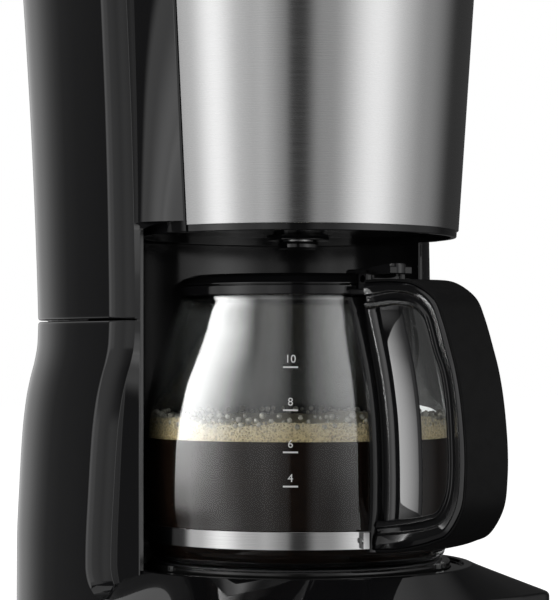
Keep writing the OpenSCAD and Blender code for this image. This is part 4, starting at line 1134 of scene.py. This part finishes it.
# ---- Drip stop ----
# A black valve under the filter: a disc that the jug's lid pushes up, on a stem in a flanged guide,
# closed by a small steel coil spring.
DISC_Z0, DISC_Z1, DISC_R, STEM_R = 184.1, 187.3, 9.5, 4.0
GUIDE_FLANGE, GUIDE_Z0, GUIDE_Z1, SPRING_TOP = 14.5, 187.8, 197.0, 191.8
matte_black = finish("matte_black", (0.014, 0.014, 0.0145), 0.4, scuff=0.12, scale=150, ripple=0.0)
piece("valve_plunger", [turned(rounded([(0.01, DISC_Z0), (DISC_R, DISC_Z0), (DISC_R, DISC_Z1),
                                        (STEM_R, DISC_Z1), (STEM_R, 204.5), (7, 204.6), (7, 206.5),
                                        (0.01, 206.5)], [0, 0.6, 0.4, 0.3, 0.2, 0.3, 0.5, 0], 4), steps=96)],
      gloss_black, "drip_stop", ["drip_valve"])
piece("valve_flange", [turned(rounded([(DISC_R + 0.7, GUIDE_Z0), (GUIDE_FLANGE, GUIDE_Z0),
                                       (GUIDE_FLANGE, GUIDE_Z0 + 2.5), (12, GUIDE_Z0 + 2.5),
                                       (12, GUIDE_Z1), (STEM_R + 0.1, GUIDE_Z1),
                                       (STEM_R + 0.1, SPRING_TOP), (DISC_R + 0.7, SPRING_TOP)],
                                      [0, 0.5, 0.4, 0.2, 0.5, 0.2, 0.2, 0.2], 4), steps=96)],
      gloss_black, "machine", ["valve_guide"])

# ---- Switch and lamp ----
# A rocker in a bevelled bezel on the front of the base, with a small amber lamp to its right.
lamp_amber = finish("lamp_amber", (0.55, 0.08, 0.01), 0.12, scuff=0.1, scale=400, ripple=0.0)

# ---- Inside ----
# What the housings hold: tank, hoses, heater, thermostat, fuses, filter basket and fixings, each in
# its own moulded, cast or turned finish.
plain_steel = finish("plain_steel", (0.55, 0.55, 0.55), 0.22, scuff=0.15, metallic=1.0, scale=200)
tank_plastic = finish("tank_plastic", (0.02, 0.02, 0.022), 0.28, scuff=0.15, scale=40)
cast_aluminium = finish("cast_aluminium", (0.62, 0.62, 0.62), 0.42, scuff=0.25, metallic=1.0, scale=300)
silicone = finish("silicone", (0.55, 0.54, 0.5), 0.55, scuff=0.15, scale=90)
rubber = finish("rubber", (0.016, 0.016, 0.016), 0.7, scuff=0.15, scale=250, specular=0.3)
gauge_clear = finish("gauge_clear", (0.30, 0.36, 0.40), 0.06, scuff=0.05, scale=60)
valve_white = finish("valve_white", (0.70, 0.69, 0.64), 0.4, scuff=0.1, scale=120)
bakelite = finish("bakelite", (0.018, 0.014, 0.012), 0.35, scuff=0.15, scale=200)
FINISHES = {
    plain_steel: ["bottom_screws", "element_clamp", "lid_pin", "switch_pin", "jug_lid_pin", "band_clasp",
                  "clasp_screw", "rim_clips", "valve_spring"],
    tank_plastic: ["water_tank"],
    cast_aluminium: ["heating_element"],
    silicone: ["inlet_hose", "riser_pipe", "basket_seal", "lid_gasket"],
    rubber: ["rubber_feet"],
    gauge_clear: ["gauge_window"],
    valve_white: ["tank_valve", "terminal_block", "thermal_fuses"],
    bakelite: ["thermostat"],
    lamp_amber: ["pilot_lamp"],
    matte_black: ["bottom_plate", "filter_basket", "spray_head", "cord_inlet"],
    gloss_black: ["rear_cap", "switch_bezel", "switch_rocker"],
}
for coat, names in FINISHES.items():
    for name in names:
        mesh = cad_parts[name].data
        mesh.materials.clear()
        mesh.materials.append(coat)
